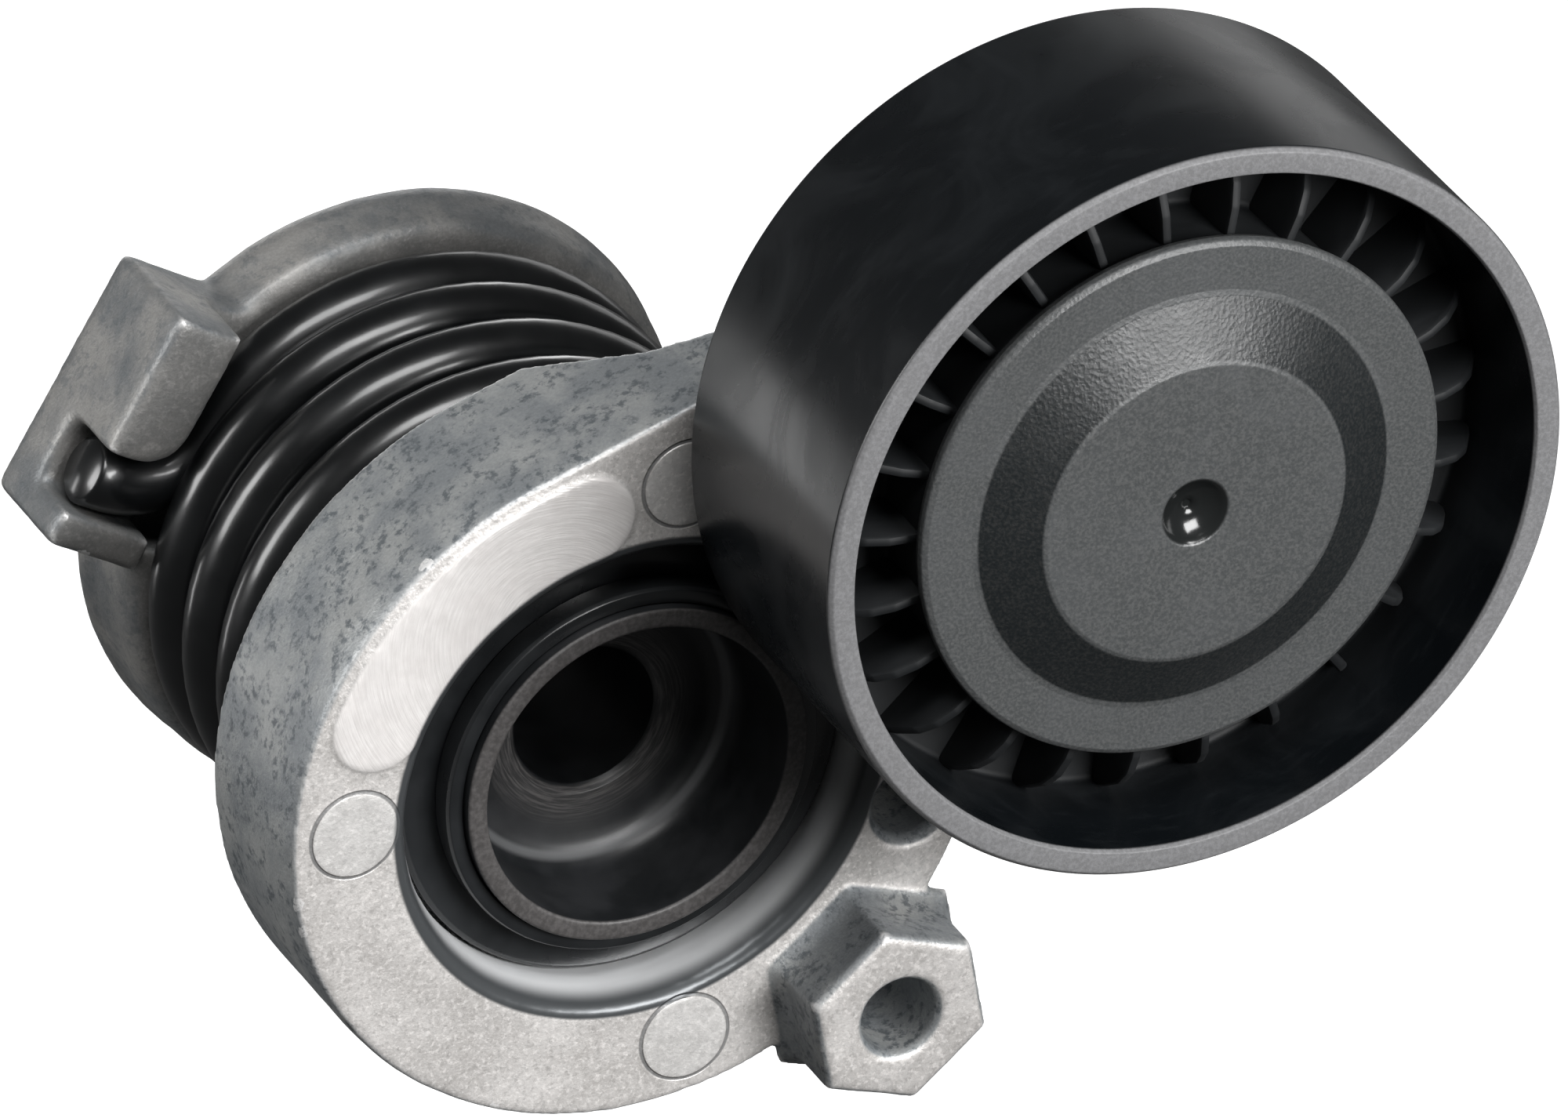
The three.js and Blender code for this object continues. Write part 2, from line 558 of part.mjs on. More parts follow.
function tensionerArm() {
  const frontBevel = {
    bevelEnabled: true, bevelSize: EDGE_BEVEL, bevelOffset: -EDGE_BEVEL,
    bevelThickness: EDGE_BEVEL_DEPTH, bevelSegments: 1, curveSegments: 17,
  };
  const block = prism(armOutline(), ARM_FACE + EDGE_BEVEL_DEPTH, DRUM_REAR + 3, frontBevel);
  const tube = turned([
    [TUBE_INNER, TUBE_REAR], [TUBE_INNER, BORE_FLOOR + 0.5],
    [CAVITY_INNER + 1, BORE_FLOOR + 0.5], [CAVITY_INNER + 1, CAVITY_FLOOR + 0.1],
    [CAVITY_INNER, CAVITY_FLOOR + 0.6], [CAVITY_INNER, TUBE_REAR],
  ]);
  const middle = ARM_ANGLE + 180;
  const stopLug = ringSector(() => [
    [TUBE_INNER + 0.1, TUBE_REAR - 1], [CAVITY_INNER - 0.9, TUBE_REAR - 1],
    [CAVITY_INNER - 0.9, BOSS_FRONT - GAP], [TUBE_INNER + 0.1, BOSS_FRONT - GAP],
  ], middle - STOP_HALF_WIDTH, middle + STOP_HALF_WIDTH, 6);
  const boreWay = turned([
    [0, -62], [BORE_RADIUS + 1.2, -62], [BORE_RADIUS + 0.9, ARM_FACE - 0.05],
    [BORE_RADIUS, ARM_FACE + 0.6], [BORE_RADIUS - 0.7, -57.6], [BORE_RADIUS - 1, -55.8],
    [BORE_RADIUS - 1, BORE_FLOOR], [TUBE_INNER, BORE_FLOOR], [TUBE_INNER, -40], [0, -40],
  ]);
  const cavity = turned([
    [CAVITY_INNER, CAVITY_FLOOR], [CAVITY_OUTER, CAVITY_FLOOR],
    [CAVITY_OUTER + 0.8, DRUM_REAR + 5], [CAVITY_INNER, DRUM_REAR + 5],
  ]);
  const coilStart = coilEnd - 360 * COIL_TURNS;
  const wireStop = ringSector(() => [
    [CAVITY_INNER - 0.5, CAVITY_FLOOR - 0.5], [CAVITY_OUTER + 1, CAVITY_FLOOR - 0.5],
    [CAVITY_OUTER + 1, DRUM_REAR - 0.6], [CAVITY_INNER - 0.5, DRUM_REAR - 0.6],
  ], coilStart - 16, coilStart - 2.2, 4);
  const spigot = turned([
    [0, ARM_FACE + 3], [11.5, ARM_FACE + 3], [11.2, SPIGOT_FRONT + 0.4], [10.8, SPIGOT_FRONT],
    [STUB_RADIUS, SPIGOT_FRONT], [STUB_RADIUS, STUB_FRONT + 0.5], [STUB_RADIUS - 0.5, STUB_FRONT],
    [0, STUB_FRONT],
  ], SMALL_ROUND);
  spigot.translate(PULLEY_X, 0, PULLEY_Z);
  const boltWay = turned([
    [0, -90], [BOLT_SHANK + 0.2, -90], [BOLT_SHANK + 0.2, ARM_FACE + 1], [0, ARM_FACE + 3],
  ], SMALL_ROUND);
  boltWay.translate(PULLEY_X, 0, PULLEY_Z);
  const hexX = HEX_DISTANCE * Math.cos(radians(HEX_DIRECTION));
  const hexZ = HEX_DISTANCE * Math.sin(radians(HEX_DIRECTION));
  const hexWay = turned([
    [0, HEX_FRONT - 1], [HEX_HOLE_RADIUS + 0.6, HEX_FRONT - 1], [HEX_HOLE_RADIUS + 0.5, HEX_FRONT],
    [HEX_HOLE_RADIUS, HEX_FRONT + 0.6], [HEX_HOLE_RADIUS - 0.5, HEX_REAR - 3.5],
    [0, HEX_REAR - 2.5],
  ], SMALL_ROUND);
  hexWay.translate(hexX, 0, hexZ);
  const lockWay = turned([
    [0, ARM_FACE - 1], [LOCK_HOLE_RADIUS + 0.9, ARM_FACE - 1], [LOCK_HOLE_RADIUS + 0.9, ARM_FACE],
    [LOCK_HOLE_RADIUS, ARM_FACE + 0.9], [LOCK_HOLE_RADIUS - 0.2, -40], [0, -40],
  ], SMALL_ROUND);
  lockWay.translate(LOCK_HOLE[0], 0, LOCK_HOLE[1]);
  const pad = prism(facePad(), ARM_FACE - PAD_RISE, ARM_FACE + 1);
  const marks = EJECTOR_MARKS.map(([x, z]) => (
    solid(prism(circle(x, z, EJECTOR_RADIUS), ARM_FACE - MARK_RISE, ARM_FACE + 1))
  ));
  const body = solid(block).intersect(solid(armDepth()));
  const face = union(body, solid(hexBoss()), solid(pad), ...marks);
  const hollow = cut(face, solid(cavity));
  const filled = union(hollow, solid(tube), solid(stopLug), solid(wireStop), solid(spigot));
  return geometryOf(cut(filled, solid(boreWay), solid(boltWay), solid(hexWay), solid(lockWay)));
}

addPiece('tensioner_arm', tensionerArm(), castAluminium);

// ---------------------------------------------------------------- pulley bearing
const pulleyPlace = [PULLEY_X, 0, PULLEY_Z];
const halfWidth = (BEARING_REAR - BEARING_FRONT) / 2;

// Race groove across a land, from one side of the groove to the other.
function groove(land, inward) {
  const points = [];
  const radius = BALL_RADIUS + GROOVE_GAP;
  const reach = Math.acos(Math.abs(BALL_CIRCLE - land) / radius);
  const steps = 4;
  for (let step = 0; step <= steps; step += 1) {
    const angle = reach * (2 * step / steps - 1);
    const sign = inward ? -1 : 1;
    points.push([BALL_CIRCLE + sign * radius * Math.cos(angle), BEARING_Y + radius * Math.sin(angle)]);
  }
  return points;
}

addPiece('bearing_inner_ring', turned([
  [BEARING_BORE, BEARING_FRONT], [BEARING_INNER_LAND, BEARING_FRONT], ...groove(BEARING_INNER_LAND, true),
  [BEARING_INNER_LAND, BEARING_REAR], [BEARING_BORE, BEARING_REAR],
], SMALL_ROUND), bearingSteel, pulleyPlace);

addPiece('bearing_outer_ring', turned([
  [BEARING_OUTER_LAND, BEARING_FRONT], [BEARING_OUTER - 0.4, BEARING_FRONT],
  [BEARING_OUTER, BEARING_FRONT + 0.4], [BEARING_OUTER, BEARING_REAR - 0.4],
  [BEARING_OUTER - 0.4, BEARING_REAR], [BEARING_OUTER_LAND, BEARING_REAR],
  ...groove(BEARING_OUTER_LAND, false).reverse(),
], SMALL_ROUND), bearingSteel, pulleyPlace);

function ballPlace(ball) {
  const angle = 2 * Math.PI * ball / BALL_COUNT;
  return [BALL_CIRCLE * Math.cos(angle), BEARING_Y, BALL_CIRCLE * Math.sin(angle)];
}

function bearingCage() {
  let cage = solid(turned([
    [13.4, BEARING_Y - 1.6], [15.3, BEARING_Y - 1.6], [15.3, BEARING_Y + 4.4],
    [13.4, BEARING_Y + 4.4],
  ], SMALL_ROUND));
  for (let ball = 0; ball < BALL_COUNT; ball += 1) {
    const pocket = new THREE.SphereGeometry(BALL_RADIUS + 0.35, 10, 8);
    pocket.translate(...ballPlace(ball));
    cage = cage.subtract(solid(pocket));
  }
  return geometryOf(cage);
}

addPiece('bearing_cage', bearingCage(), cagePlastic, pulleyPlace);

for (let ball = 0; ball < BALL_COUNT; ball += 1) {
  const [x, y, z] = ballPlace(ball);
  const sphere = new THREE.SphereGeometry(BALL_RADIUS, 10, 7);
  addPiece(`bearing_ball_${ball + 1}`, sphere, bearingSteel, [PULLEY_X + x, y, PULLEY_Z + z]);
}

function bearingSeal(side) {
  const outer = BEARING_Y + side * (halfWidth - 0.3);
  const inner = BEARING_Y + side * (halfWidth - 1.2);
  return turned([
    [BEARING_INNER_LAND + 0.2, outer], [BEARING_OUTER_LAND - SEAT_GAP, outer],
    [BEARING_OUTER_LAND - SEAT_GAP, inner], [BEARING_INNER_LAND + 0.2, inner],
  ], SMALL_ROUND);
}

addPiece('bearing_seal_front', bearingSeal(-1), sealRubber, pulleyPlace);
addPiece('bearing_seal_rear', bearingSeal(1), sealRubber, pulleyPlace);

// Dished washer between the arm's spigot and the bearing, which keeps dirt off the rear seal.
addPiece('rear_dust_shield', turned([
  [STUB_RADIUS + 0.2, BEARING_REAR + 0.1], [11.6, BEARING_REAR + 0.1], [12.4, BEARING_REAR + 0.6],
  [18.6, BEARING_REAR + 0.6], [18.6, BEARING_REAR + 1.3], [12.2, BEARING_REAR + 1.3],
  [STUB_RADIUS + 0.2, BEARING_REAR + 1.3],
], SMALL_ROUND), zincSteel, pulleyPlace);

// ---------------------------------------------------------------- pulley bolt
function pulleyBolt() {
  const flangeRear = BEARING_FRONT - 0.1;
  const shank = turned([
    [0, ARM_FACE - 2], [BOLT_SHANK - 0.6, ARM_FACE - 2], [BOLT_SHANK, ARM_FACE - 2.6],
    [BOLT_SHANK, flangeRear - 0.5], [0, flangeRear - 0.5],
  ], 24);
  const flange = turned([
    [0, flangeRear], [11.4, flangeRear], [11.4, flangeRear - 0.7], [9.2, flangeRear - 1.5],
    [0, flangeRear - 1.5],
  ], SMALL_ROUND);
  const head = prism(polygon(regular(0, 0, 7.5, 6, 0)), flangeRear - 4.6, flangeRear - 1);
  const socket = prism(polygon(regular(0, 0, 3.4, 6, 0)), flangeRear - 6, flangeRear - 2.4);
  return geometryOf(cut(union(solid(shank), solid(flange), solid(head)), solid(socket)));
}

addPiece('pulley_bolt', pulleyBolt(), zincSteel, pulleyPlace);

// ---------------------------------------------------------------- pulley
function pulley() {
  const rim = turned([
    [PULLEY_RADIUS, PULLEY_REAR - 0.5], [PULLEY_RADIUS, PULLEY_FRONT + 0.5],
    [PULLEY_RADIUS - 0.4, PULLEY_FRONT], [RIM_INNER + 0.2, PULLEY_FRONT],
    [RIM_INNER, PULLEY_FRONT + 0.4], [RIM_INNER - 0.4, -78.4], [RIM_INNER - 0.4, -75.4],
    [RIM_INNER, PULLEY_REAR - 0.4], [RIM_INNER + 0.2, PULLEY_REAR],
    [PULLEY_RADIUS - 0.4, PULLEY_REAR],
  ]);
  const hubBore = BEARING_OUTER + SEAT_GAP;
  const hub = turned([
    [hubBore, CAP_RING + 1.8], [HUB_RADIUS - 0.5, CAP_RING + 1.8],
    [HUB_RADIUS, CAP_RING + 2.3], [HUB_RADIUS, -68], [HUB_RADIUS - 0.5, -67.5],
    [hubBore + 1, -67.5], [hubBore - 1, BEARING_REAR + 1.2], [hubBore - 1, BEARING_REAR + 0.2],
    [hubBore, BEARING_REAR + 0.2], [hubBore, BEARING_FRONT - 0.1],
    [hubBore - 1.2, BEARING_FRONT - 0.1], [hubBore - 1.2, BEARING_FRONT - 0.7],
    [hubBore, BEARING_FRONT - 0.7],
  ]);
  const web = turned([
    [HUB_RADIUS - 1, -78], [RIM_INNER + 1, -78], [RIM_INNER + 1, -75.8], [HUB_RADIUS - 1, -75.8],
  ]);
  let body = union(solid(rim), solid(hub), solid(web));
  const ribSide = polygon([
    [HUB_RADIUS - 1.5, -84.9], [26.6, -84.6], [28.6, -83.9], [30.2, -82.6], [31.6, -80.4],
    [RIM_INNER + 1, -77], [RIM_INNER + 1, -71], [30.4, -69.6], [HUB_RADIUS - 1.5, -68.6],
  ]);
  for (let rib = 0; rib < RIB_COUNT; rib += 1) {
    const blade = new THREE.ExtrudeGeometry(ribSide, { depth: RIB_THICKNESS, bevelEnabled: false });
    blade.translate(0, 0, -RIB_THICKNESS / 2);
    blade.rotateY(-radians(RIB_FIRST + rib * 360 / RIB_COUNT));
    body = body.add(solid(blade));
  }
  return geometryOf(body);
}

addPiece('pulley', pulley(), pulleyPlastic, pulleyPlace);

addPiece('dust_cap', turned([
  [0, -89.1], [0.7, -89], [1.1, -88.6], [2.3, -88.6], [2.8, -89.1], [3.1, CAP_PLATEAU],
  [14.1, CAP_PLATEAU], [14.6, CAP_PLATEAU + 0.2], [19.5, CAP_RING - 0.15], [20, CAP_RING],
  [CAP_RADIUS - 0.6, CAP_RING], [CAP_RADIUS - 0.1, CAP_RING + 0.3], [CAP_RADIUS, CAP_RING + 0.8],
  [CAP_RADIUS - 0.2, CAP_RING + 1.5], [19.9, CAP_RING + 1.5], [19.8, CAP_RING + 3.4],
  [18.6, CAP_RING + 3.4], [18.4, CAP_RING + 1.6], [13.4, CAP_PLATEAU + 1.6],
  [0, CAP_PLATEAU + 1.6],
], SMALL_ROUND), capPlastic, pulleyPlace);

export default tensioner;
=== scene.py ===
# Looks of the belt tensioner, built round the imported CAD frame.
# Shapes are written in millimetres in the frame's own axes: +Y to the rear along the pivot axis,
# +Z up, the front facing -Y. The pulley's axis is parallel to the pivot axis.
import json
import math
from math import cos, sin, radians, pi

import bmesh
import bpy
import numpy as np
from mathutils import Matrix, Vector


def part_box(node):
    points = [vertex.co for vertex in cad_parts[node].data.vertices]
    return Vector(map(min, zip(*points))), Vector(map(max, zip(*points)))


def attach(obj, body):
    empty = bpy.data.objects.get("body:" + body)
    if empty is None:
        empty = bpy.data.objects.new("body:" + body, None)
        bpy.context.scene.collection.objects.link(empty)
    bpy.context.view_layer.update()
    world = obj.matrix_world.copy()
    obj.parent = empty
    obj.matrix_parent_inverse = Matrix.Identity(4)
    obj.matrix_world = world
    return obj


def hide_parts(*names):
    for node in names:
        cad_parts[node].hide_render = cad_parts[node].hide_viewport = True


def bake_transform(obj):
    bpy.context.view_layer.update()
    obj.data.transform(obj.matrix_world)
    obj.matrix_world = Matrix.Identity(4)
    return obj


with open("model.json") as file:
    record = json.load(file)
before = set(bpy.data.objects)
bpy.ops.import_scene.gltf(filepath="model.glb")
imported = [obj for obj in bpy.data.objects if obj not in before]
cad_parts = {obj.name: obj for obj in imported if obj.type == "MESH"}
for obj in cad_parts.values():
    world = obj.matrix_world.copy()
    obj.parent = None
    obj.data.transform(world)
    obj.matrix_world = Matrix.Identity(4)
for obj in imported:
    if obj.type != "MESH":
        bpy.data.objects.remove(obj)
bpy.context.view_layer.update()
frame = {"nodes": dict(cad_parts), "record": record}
MM = 0.001
PIVOT = (0.0, 0.0)


def centre_of(node):
    low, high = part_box(node)
    middle = (low + high) / (2 * MM)
    return middle.x, middle.z


PULLEY = centre_of("pulley")
ARM_ANGLE = math.degrees(math.atan2(PULLEY[1], PULLEY[0]))
ARM_LENGTH = math.hypot(*PULLEY)


# ------------------------------------------------------------------ mesh helpers
def new_object(name, points, faces):
    mesh = bpy.data.meshes.new(name)
    mesh.from_pydata([Vector(p) * MM for p in points], [], faces)
    shape = bmesh.new()
    shape.from_mesh(mesh)
    bmesh.ops.recalc_face_normals(shape, faces=shape.faces)
    shape.to_mesh(mesh)
    shape.free()
    made = bpy.data.objects.new(name, mesh)
    bpy.context.scene.collection.objects.link(made)
    return made


def rounded(profile, radius, steps=4, closed=True):
    """The same outline with every corner turned into an arc of about this radius."""
    count = len(profile)
    result = []
    for i, corner in enumerate(profile):
        here = Vector(corner[:2])
        wanted = corner[2] if len(corner) > 2 else radius
        on_end = not closed and i in (0, count - 1)
        before = Vector(profile[i - 1][:2]) - here
        after = Vector(profile[(i + 1) % count][:2]) - here
        turn = pi - before.angle(after, pi) if before.length and after.length else 0
        if on_end or turn < radians(8) or wanted <= 0:
            result.append(tuple(here))
            continue
        reach = min(wanted * math.tan(turn / 2), 0.46 * before.length, 0.46 * after.length)
        start = here + before.normalized() * reach
        end = here + after.normalized() * reach
        for step in range(steps + 1):
            t = step / steps
            point = start * (1 - t) ** 2 + here * 2 * t * (1 - t) + end * t ** 2
            result.append(tuple(point))
    return result


def turned(name, profile, centre=PIVOT, facets=160, radius=0.0):
    """Lathed solid about an axis parallel to Y; profile is a list of (radius, y)."""
    on_axis = profile[0][0] == 0 and profile[-1][0] == 0
    line = rounded(profile, radius, closed=not on_axis) if radius else [p[:2] for p in profile]
    points, rows = [], []
    for r, y in line:
        if r < 1e-6:
            rows.append([len(points)] * facets)
            points.append((centre[0], y, centre[1]))
            continue
        rows.append(list(range(len(points), len(points) + facets)))
        for k in range(facets):
            a = 2 * pi * k / facets
            points.append((centre[0] + r * cos(a), y, centre[1] + r * sin(a)))
    faces = []
    pairs = list(zip(rows, rows[1:])) + ([] if on_axis else [(rows[-1], rows[0])])
    for low, high in pairs:
        for k in range(facets):
            n = (k + 1) % facets
            face = []
            for v in (low[k], low[n], high[n], high[k]):
                if v not in face:
                    face.append(v)
            if len(face) > 2:
                faces.append(face)
    return new_object(name, points, faces)


def loft(name, rings):
    sides = len(rings[0])
    points = [p for ring in rings for p in ring]
    faces = [list(range(sides)), list(range(len(points) - sides, len(points)))]
    for row in range(len(rings) - 1):
        for k in range(sides):
            a, b = row * sides + k, row * sides + (k + 1) % sides
            faces.append([a, b, b + sides, a + sides])
    return new_object(name, points, faces)


def prism(name, outline, y_front, y_rear):
    return loft(name, [[(x, y, z) for x, z in outline] for y in (y_front, y_rear)])


def ring_sector(name, profile_at, start, end, steps):
    rings = []
    for step in range(steps + 1):
        degrees = start + (end - start) * step / steps
        a = radians(degrees)
        rings.append([(r * cos(a), y, r * sin(a)) for r, y in profile_at(degrees)])
    return loft(name, rings)


def circle(x, z, radius, facets=64):
    return [(x + radius * cos(2 * pi * k / facets), z + radius * sin(2 * pi * k / facets))
            for k in range(facets)]


def baked(shape):
    """Applies the modifiers of an object."""
    bpy.context.view_layer.update()
    graph = bpy.context.evaluated_depsgraph_get()
    mesh = bpy.data.meshes.new_from_object(shape.evaluated_get(graph))
    old = shape.data
    shape.modifiers.clear()
    shape.data = mesh
    bpy.data.meshes.remove(old)
    return shape


def combine(body, operation, *others):
    for other in others:
        modifier = body.modifiers.new("join", "BOOLEAN")
        modifier.operation = operation
        modifier.solver = "MANIFOLD"
        modifier.object = other
        baked(body)
        bpy.data.objects.remove(other)
    return body


def add(body, *others):
    return combine(body, "UNION", *others)


def cut(body, *others):
    return combine(body, "DIFFERENCE", *others)


def smooth_shading(shape, sharp=None):
    for polygon in shape.data.polygons:
        polygon.use_smooth = True
    if sharp is not None:
        shape.data.set_sharp_from_angle(angle=radians(sharp))


VOXEL = 0.32
KEPT_FACES = 0.35
SKIN_WAVES = ((7.0, 0.16), (1.6, 0.05))  # size and depth of each


def as_cast(shape, passes, reshape=None):
    """Rounds every edge as a casting has it, and gives the skin its slight unevenness.

    reshape says how far each vertex of the rounded casting moves to the front.
    """
    remesh = shape.modifiers.new("grain", "REMESH")
    remesh.mode = "VOXEL"
    remesh.voxel_size = VOXEL * MM
    soften = shape.modifiers.new("soften", "SMOOTH")
    soften.factor = 0.5
    soften.iterations = passes
    baked(shape)
    if reshape:
        count = len(shape.data.vertices)
        points, normals = np.zeros(count * 3), np.zeros(count * 3)
        shape.data.vertices.foreach_get("co", points)
        shape.data.vertices.foreach_get("normal", normals)
        points = points.reshape(-1, 3)
        points[:, 1] -= reshape(points / MM, normals.reshape(-1, 3)) * MM
        shape.data.vertices.foreach_set("co", points.ravel())
        shape.data.update()
    for size, depth in SKIN_WAVES:
        waves = bpy.data.textures.new("waves", "CLOUDS")
        waves.noise_scale = size * MM
        uneven = shape.modifiers.new("uneven", "DISPLACE")
        uneven.texture = waves
        uneven.texture_coords = "LOCAL"
        uneven.strength = depth * MM
        uneven.mid_level = 0.5
    fewer = shape.modifiers.new("fewer", "DECIMATE")
    fewer.ratio = KEPT_FACES
    baked(shape)
    smooth_shading(shape)
    return shape


def place(shape, body, slot, look, *nodes):
    shape.data.materials.clear()
    shape.data.materials.append(look)
    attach(shape, body)
    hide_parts(*nodes)
    return shape


# ------------------------------------------------------------------ material helpers
class Look:
    """One procedural material, wired node by node. Noise scales are features per metre."""

    def __init__(self, name):
        self.material = bpy.data.materials.new(name)
        self.material.use_nodes = True
        self.tree = self.material.node_tree
        self.shader = self.tree.nodes["Principled BSDF"]
        self.place = self.tree.nodes.new("ShaderNodeTexCoord").outputs["Object"]

    def put(self, socket, value):
        if isinstance(value, bpy.types.NodeSocket):
            self.tree.links.new(value, socket)
        elif isinstance(value, (tuple, list)) and len(value) == 3 and socket.type == "RGBA":
            socket.default_value = (*value, 1.0)
        else:
            socket.default_value = value

    def set(self, **values):
        for key, value in values.items():
            self.put(self.shader.inputs[key.replace("_", " ")], value)
        return self.material

    def math(self, operation, *values):
        node = self.tree.nodes.new("ShaderNodeMath")
        node.operation = operation
        for socket, value in zip(node.inputs, values):
            self.put(socket, value)
        return node.outputs[0]

    def times(self, a, b):
        return self.math("MULTIPLY", a, b)

    def length(self, dx, dz):
        return self.math("SQRT", self.math("ADD", self.times(dx, dx), self.times(dz, dz)))

    def split(self, vector):
        node = self.tree.nodes.new("ShaderNodeSeparateXYZ")
        self.put(node.inputs[0], vector)
        return node.outputs

    def join(self, x, y, z):
        node = self.tree.nodes.new("ShaderNodeCombineXYZ")
        for socket, value in zip(node.inputs, (x, y, z)):
            self.put(socket, value)
        return node.outputs[0]

    def noise(self, scale, detail=3.0, rough=0.55, distort=0.0, place=None):
        node = self.tree.nodes.new("ShaderNodeTexNoise")
        self.put(node.inputs["Vector"], place or self.place)
        node.inputs["Scale"].default_value = scale
        node.inputs["Detail"].default_value = detail
        node.inputs["Roughness"].default_value = rough
        node.inputs["Distortion"].default_value = distort
        return node.outputs[0]

    def cells(self, scale):
        node = self.tree.nodes.new("ShaderNodeTexVoronoi")
        self.put(node.inputs["Vector"], self.place)
        node.inputs["Scale"].default_value = scale
        return node.outputs["Distance"]

    def ramp(self, value, low, high, to_low=0.0, to_high=1.0):
        node = self.tree.nodes.new("ShaderNodeMapRange")
        node.interpolation_type = "SMOOTHSTEP"
        for socket, number in zip(node.inputs, (value, low, high, to_low, to_high)):
            self.put(socket, number)
        return node.outputs[0]

    def mix(self, factor, a, b, blend="MIX"):
        node = self.tree.nodes.new("ShaderNodeMix")
        node.data_type = "RGBA"
        node.blend_type = blend
        self.put(node.inputs[0], factor)
        self.put(node.inputs[6], a)
        self.put(node.inputs[7], b)
        return node.outputs[2]

    def bump(self, height, distance, strength):
        node = self.tree.nodes.new("ShaderNodeBump")
        node.inputs["Strength"].default_value = strength
        node.inputs["Distance"].default_value = distance * MM
        self.put(node.inputs["Height"], height)
        return node.outputs[0]

    def edges(self, low, high):
        """Nearly 1 on sharp outer edges, 0 elsewhere."""
        node = self.tree.nodes.new("ShaderNodeNewGeometry")
        return self.ramp(node.outputs["Pointiness"], low, high)

    def facing_y(self):
        node = self.tree.nodes.new("ShaderNodeNewGeometry")
        return self.split(node.outputs["Normal"])[1]


# ------------------------------------------------------------------ camera
camera_data = bpy.data.cameras.new("camera")
camera_data.lens = 469.1
camera_data.sensor_width = 36.0
camera = bpy.data.objects.new("camera", camera_data)
camera.location = (-0.64537, -1.42771, 0.91854)
camera.rotation_euler = (radians(59.344), 0.0, radians(-25.725))
bpy.context.scene.collection.objects.link(camera)
bpy.context.scene.camera = camera


# ------------------------------------------------------------------ places that looks and shapes share
ARM_FACE = -60.0
BORE_MOUTH = 23.7

# The machined pad is a band along an arc about the pivot axis.
PAD_MIDDLE = 27.7
PAD_HALF = 4.4
PAD_FROM = 100.5
PAD_TO = 154.5
EJECTORS = ((-27.4, 1.6), (3.9, -27.3), (4.4, 28.6))
EJECTOR_RADIUS = 4.2

SHAFT_FRONT = -59.3
CUP_FLOOR = -48.7
BOLT_HOLE = 6.7

PULLEY_FRONT = -90.2
RIM_INNER = 32.45

# The dust cap's cone and its middle dimple.
CONE_INNER = 14.45
CONE_OUTER = 19.55
DIMPLE_RADIUS = 3.3


# ------------------------------------------------------------------ materials
# The dark and the light tone of the castings' walls and of their front faces. The arm's front-face tones are
# much lighter: painted light, for the lamps in front falling on those faces.
ARM_WALL_TONES = ((0.250, 0.266, 0.278), (0.385, 0.394, 0.392))
ARM_LIT_FACE_TONES = ((0.53, 0.508, 0.490), (0.69, 0.665, 0.645))
BASE_WALL_TONES = ((0.175, 0.184, 0.190), (0.295, 0.290, 0.280))
BASE_FACE_TONES = ((0.18, 0.180, 0.176), (0.25, 0.244, 0.235))
STROKE_CENTRE = (-9.0, 18.0)


def cast_aluminium(name, on_arm):
    look = Look(name)
    x, y, z = look.split(look.place)
    front = look.ramp(look.times(look.facing_y(), -1.0), 0.75, 0.97)
    clouds = look.noise(150.0, 4.0, 0.55, 0.3)
    specks = look.noise(1050.0, 5.0, 0.68)
    patches = look.noise(330.0, 5.0, 0.62, 0.5)
    grain = look.noise(3600.0, 3.0, 0.6)
    flecks = look.noise(1500.0, 5.0, 0.7, 0.4)
    wall_tones, face_tones = ARM_WALL_TONES, ARM_LIT_FACE_TONES
    speckle, contrast = 0.80, 0.70
    if not on_arm:
        wall_tones, face_tones = BASE_WALL_TONES, BASE_FACE_TONES
        speckle, contrast = 0.45, 0.08
    wall_colour = look.mix(look.ramp(clouds, 0.35, 0.66), *wall_tones)
    speckled = look.times(look.ramp(specks, 0.47, 0.62), look.ramp(patches, 0.40, 0.56))
    wall_colour = look.mix(look.times(speckled, speckle), wall_colour, (0.095, 0.110, 0.122))
    front_face_colour = look.mix(look.ramp(clouds, 0.36, 0.68), *face_tones)
    front_face_colour = look.mix(look.ramp(flecks, 0.47, 0.66, 0.0, 0.8 * contrast), front_face_colour, (0.34, 0.33, 0.32))
    bright_grain = look.ramp(look.noise(1900.0, 4.0, 0.65), 0.50, 0.66, 0.0, contrast)
    front_face_colour = look.mix(bright_grain, front_face_colour, (0.88, 0.845, 0.82))
    # Faces turned to the front take the face colour instead of the wall colour; on the arm this lighter tone
    # is painted light, laid over the real casting grain and specks.
    colour = look.mix(front, wall_colour, front_face_colour)
    colour = look.mix(look.ramp(grain, 0.35, 0.68, 0.0, 0.30), colour, (0.76, 0.76, 0.75), "OVERLAY")
    rough = look.ramp(specks, 0.3, 0.7, 0.40, 0.52)
    height = look.math("ADD", look.times(grain, 0.5), look.times(flecks, 0.5))
    # Sharp outer edges are painted near white: partly rubbed wear, mostly a painted highlight where the
    # rounded edges catch the light.
    edge_wear_and_highlight = look.times(look.edges(0.518, 0.55), look.ramp(grain, 0.25, 0.5))
    colour = look.mix(look.times(edge_wear_and_highlight, 0.75), colour, (0.90, 0.89, 0.88))
    if on_arm:
        colour, rough, height = arm_marks(look, x, y, z, colour, rough, height)
    skin = look.bump(height, 0.08, 0.9)
    return look.set(Base_Color=colour, Metallic=0.4, Roughness=rough, Normal=skin)


